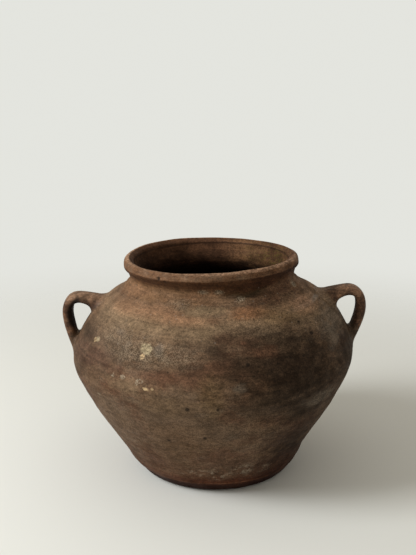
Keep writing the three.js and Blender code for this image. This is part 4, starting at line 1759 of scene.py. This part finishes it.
@dataclass(frozen=True)
class RimFinish(ClayFinish):
    """The lip's rubbed red-brown clay: a painted highlight on its ridge, rusty on the right, and painted
    shade underneath, deeper on the right.
    """

    roughness: Ramp = Ramp(0.30, 0.70, 0.82, 0.55)
    sheen: float = 0.12
    grey_streaks: Ramp = Ramp(0.38, 0.66)
    red_flecks: Ramp = Ramp(0.54, 0.70, 0.0, 0.60)
    rust_by_side: Ramp = Ramp(0.005, 0.075, 0.0, 0.65)
    # A painted highlight along the ridge, broken up by noise.
    ridge_highlight_rise: Ramp = Ramp(0.2462, 0.2482)
    ridge_highlight_grain: Ramp = Ramp(0.35, 0.60, 0.30, 0.85)
    # Painted shade on the lip's underside, reaching higher on the right, and deeper still on the right.
    under_shade_tilt: float = 0.024
    under_shade_edge: Ramp = Ramp(0.2412, 0.2396)
    under_shade_share: float = 0.90
    shade_by_side: Ramp = Ramp(0.010, 0.050, 0.0, 0.50)
    mouth_edge: Ramp = Ramp(0.0892, 0.0876, 0.0, 0.90)
    nick_strength: float = 0.85
    nick_whole: float = 0.30

    def layers(self, graph: Graph, colour: Socket) -> Socket:
        """Lays grey streaks, a painted highlight on the ridge, painted shade on the underside and the
        nicks on the lip's brown.
        """
        colour = graph.between(graph.ramp(graph.mottle, self.grey_streaks), Tint.LIP, Tint.LIP_GREY)
        colour = graph.lay(colour, Tint.RED_BROWN, graph.ramp(graph.edge, self.red_flecks))
        colour = graph.lay(colour, Tint.LIP_RUST, graph.ramp(graph.side, self.rust_by_side))
        # A painted highlight along the ridge.
        top = graph.share((graph.height, self.ridge_highlight_rise), (graph.fine, self.ridge_highlight_grain))
        colour = graph.lay(colour, Tint.RIDGE, top)
        # Painted shade on the lip's underside, which faces down; it reaches further up the lip on the
        # right.
        rise = graph.times(graph.math("MAXIMUM", graph.side, 0.0), self.under_shade_tilt)
        under = graph.ramp(graph.math("SUBTRACT", graph.height, rise), self.under_shade_edge)
        colour = graph.lay(colour, Tint.UNDER_LIP, graph.times(under, self.under_shade_share))
        # More painted shade under the lip on the right, away from the light.
        shade = graph.times(under, graph.ramp(graph.side, self.shade_by_side))
        colour = graph.lay(colour, Tint.DEEP_RED, shade)
        colour = graph.lay(colour, Tint.INSIDE, graph.ramp(graph.radius(), self.mouth_edge))
        for nick in NICKS:
            spot = Patch(Tint.PIT, nick.azimuth, nick.height, nick.radius, nick.radius, self.nick_strength)
            mask = self.patch_mask(graph, spot, self.nick_whole, nick.on(self.outline))
            colour = graph.lay(colour, spot.tint, mask)
        return colour


@dataclass(frozen=True)
class InsideFinish(ClayFinish):
    """The jar's inside: red-brown at the neck, sooted and painted with shade further down and on the left,
    lighter on the right with painted light, and mossy there.
    """

    fired_share: float = 0.80
    # Painted light on the right inner wall, which faces the light.
    lit_wall_from: Ramp = Ramp(0.0, 0.035, 0.0, 0.65)
    lit_wall_to: Ramp = Ramp(0.070, 0.045)
    runs: Cloudiness = Cloudiness(1.0, 0.18, 120.0, 4.0, 0.65)
    run_share: Ramp = Ramp(0.46, 0.64, 0.0, 0.22)
    line_share: Ramp = Ramp(0.44, 0.64, 0.0, 0.40)
    moss: Patch = Patch(Tint.MOSS, 113.8, 0.2300, 0.050, 0.022, 0.75)
    moss_grain: Ramp = Ramp(0.42, 0.58)
    # Soot and painted shade deep inside and on the left inner wall, which is turned from the light.
    soot_and_shade_tear: float = 0.030
    soot_and_shade_tilt: float = 0.14
    soot_and_shade_fall: Ramp = Ramp(0.241, 0.210)
    # Painted shade in the groove under the lip's inner edge.
    groove: float = 0.2432
    groove_shade_width: Ramp = Ramp(0.0017, 0.0004, 0.0, 0.60)

    def layers(self, graph: Graph, colour: Socket) -> Socket:
        """Lays the inside's painted light on the right, runs, wheel lines, moss, soot with painted shade,
        and painted shade in the groove.
        """
        colour = graph.lay(colour, Tint.INSIDE, self.fired_share)
        # Painted light on the right inner wall, which faces the light.
        rusty = graph.share((graph.side, self.lit_wall_from), (graph.side, self.lit_wall_to))
        colour = graph.lay(colour, Tint.NECK, rusty)
        colour = graph.lay(colour, Tint.INSIDE_DARK, graph.ramp(graph.noise(self.runs), self.run_share))
        colour = graph.lay(colour, Tint.INSIDE_DARK, graph.ramp(graph.wheel, self.line_share))
        speckled = graph.ramp(graph.fine, self.moss_grain)
        speckled = graph.times(self.patch_mask(graph, self.moss, self.patch_whole), speckled)
        colour = graph.lay(colour, self.moss.tint, speckled)
        # Soot and painted shade deep inside, reaching higher on the left inner wall, which is turned from
        # the light.
        torn = graph.torn(graph.height, graph.mottle, self.soot_and_shade_tear)
        tilted = graph.math("ADD", torn, graph.times(graph.side, self.soot_and_shade_tilt))
        colour = graph.lay(colour, Tint.INSIDE_DARK, graph.ramp(tilted, self.soot_and_shade_fall))
        # Painted shade in the groove under the lip's inner edge.
        groove = graph.ramp(graph.off(graph.height, self.groove), self.groove_shade_width)
        return graph.lay(colour, Tint.INSIDE_DARK, groove)


# Studio


@dataclass(frozen=True)
class Studio:
    """The pale floor, the soft light from the left and the camera of the photograph's view."""

    floor_radius: float = 3.0
    floor_sides: int = 128
    floor_roughness: float = 0.9
    fade_start: float = 0.30
    fade_end: float = 1.10
    floor_colour: Colour = (0.735, 0.755, 0.725)
    backdrop_colour: Colour = (0.775, 0.780, 0.735)
    room_colour: Colour = (0.80, 0.74, 0.65)
    room_light: float = 0.66
    window_place: tuple[float, float, float] = (-1.42, -0.50, 1.16)
    window_aim: tuple[float, float, float] = (0.0, 0.0, 0.12)
    window_size: tuple[float, float] = (0.70, 0.80)
    window_power: float = 29.5
    camera_place: tuple[float, float, float] = (-0.0084, -0.9895, 0.4700)
    camera_pitch: float = math.radians(14.12)
    focal_pixels: float = 900.0
    image_height: float = 555.0
    sensor: float = 36.0

    def build(self) -> None:
        """Sets the stage, the light and the camera."""
        self._floor()
        self._world()
        self._window()
        self._camera()
        bpy.context.scene.view_settings.view_transform = "Standard"

    def _floor(self) -> None:
        """Lays a round pale floor that fades into the backdrop far from the jar."""
        disc = bmesh.new()
        bmesh.ops.create_circle(disc, cap_ends=True, segments=self.floor_sides, radius=self.floor_radius)
        mesh = bpy.data.meshes.new("floor")
        disc.to_mesh(mesh)
        disc.free()
        mesh.materials.append(self._floor_material())
        floor = bpy.data.objects.new("floor", mesh)
        bpy.context.scene.collection.objects.link(floor)

    def _floor_material(self) -> bpy.types.Material:
        """Makes the floor's matt paint, clear far from the jar."""
        paint = bpy.data.materials.new("floor_paint")
        paint.use_nodes = True
        nodes, links = paint.node_tree.nodes, paint.node_tree.links
        shader = nodes["Principled BSDF"]
        shader.inputs["Base Color"].default_value = (*self.floor_colour, 1.0)
        shader.inputs["Roughness"].default_value = self.floor_roughness
        place = nodes.new("ShaderNodeTexCoord")
        away = nodes.new("ShaderNodeVectorMath")
        away.operation = "LENGTH"
        fade = nodes.new("ShaderNodeMapRange")
        fade.interpolation_type = "SMOOTHSTEP"
        fade.inputs["From Min"].default_value = self.fade_start
        fade.inputs["From Max"].default_value = self.fade_end
        clear = nodes.new("ShaderNodeBsdfTransparent")
        mix = nodes.new("ShaderNodeMixShader")
        links.new(place.outputs["Object"], away.inputs[0])
        links.new(away.outputs["Value"], fade.inputs["Value"])
        links.new(fade.outputs["Result"], mix.inputs["Fac"])
        links.new(shader.outputs["BSDF"], mix.inputs[1])
        links.new(clear.outputs["BSDF"], mix.inputs[2])
        links.new(mix.outputs["Shader"], nodes["Material Output"].inputs["Surface"])
        return paint

    def _world(self) -> None:
        """Sets a pale backdrop and the even light of a pale room."""
        world = bpy.data.worlds.new("room")
        bpy.context.scene.world = world
        world.use_nodes = True
        nodes, links = world.node_tree.nodes, world.node_tree.links
        room = nodes["Background"]
        room.inputs["Color"].default_value = (*self.room_colour, 1.0)
        room.inputs["Strength"].default_value = self.room_light
        seen = nodes.new("ShaderNodeBackground")
        seen.inputs["Color"].default_value = (*self.backdrop_colour, 1.0)
        seen.inputs["Strength"].default_value = 1.0
        path = nodes.new("ShaderNodeLightPath")
        mix = nodes.new("ShaderNodeMixShader")
        links.new(path.outputs["Is Camera Ray"], mix.inputs["Fac"])
        links.new(room.outputs["Background"], mix.inputs[1])
        links.new(seen.outputs["Background"], mix.inputs[2])
        links.new(mix.outputs["Shader"], nodes["World Output"].inputs["Surface"])

    def _window(self) -> None:
        """Hangs the large soft light on the left."""
        lamp = bpy.data.lights.new("window", "AREA")
        lamp.shape = "RECTANGLE"
        lamp.size, lamp.size_y = self.window_size
        lamp.energy = self.window_power
        window = bpy.data.objects.new("window", lamp)
        window.location = self.window_place
        aim = Vector(self.window_aim) - Vector(self.window_place)
        window.rotation_euler = aim.to_track_quat("-Z", "Y").to_euler()
        bpy.context.scene.collection.objects.link(window)

    def _camera(self) -> None:
        """Stands the camera where the photograph was taken."""
        view = bpy.data.cameras.new("view")
        view.sensor_width = self.sensor
        view.lens = self.focal_pixels / self.image_height * self.sensor
        camera = bpy.data.objects.new("view", view)
        camera.location = self.camera_place
        camera.rotation_euler = (math.pi / 2.0 - self.camera_pitch, 0.0, 0.0)
        bpy.context.scene.collection.objects.link(camera)
        bpy.context.scene.camera = camera


# The jar


@dataclass
class Urn:
    """The whole jar: its turned members and its two handles."""

    shop: Workshop
    handle_step: float = 0.0026

    def build(self) -> list[bpy.types.Object]:
        """Makes every piece of the jar."""
        parts = (self.shop.outline, self.shop.settling)
        wall = WallFinish("wall_clay", *parts).material()
        lip = RimFinish("rim_clay", *parts).material()
        inside = InsideFinish("inside_clay", *parts).material()
        strap = HandleFinish("handle_clay", *parts).material()
        members: list[ThrownMember] = [
            BaseDisc(self.shop, "base_disc", Slot.FOOT),
            FloorCoil(self.shop, "base_seam_coil", Slot.COIL),
            LowerWall(self.shop, "lower_wall", Slot.WALL),
            BellyCoil(self.shop, "belly_seam_coil", Slot.COIL),
            UpperWall(self.shop, "upper_wall", Slot.WALL),
            NeckCollar(self.shop, "neck_collar", Slot.WALL),
            RimRoll(self.shop, "rim_roll", Slot.RIM),
        ]
        outsides = {Slot.RIM: lip, Slot.COIL: inside}
        pieces = [member.build(outsides.get(member.slot, wall), inside) for member in members]
        for side, lift in ((Side.RIGHT, self.handle_step / 2.0), (Side.LEFT, -self.handle_step / 2.0)):
            pieces += StrapHandle(self.shop, side, lift).build(strap)
        return pieces


def main() -> None:
    """Builds the studio and the jar and reports each piece."""
    logging.basicConfig(level=logging.INFO, format="%(name)s: %(message)s")
    Studio().build()
    outline = BodyOutline()
    pieces = Urn(Workshop(outline, HandRelief(outline), Settling(outline))).build()
    log.info("%d pieces stand for %d nodes", len(pieces), len(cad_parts))


if __name__ == "__main__":
    main()
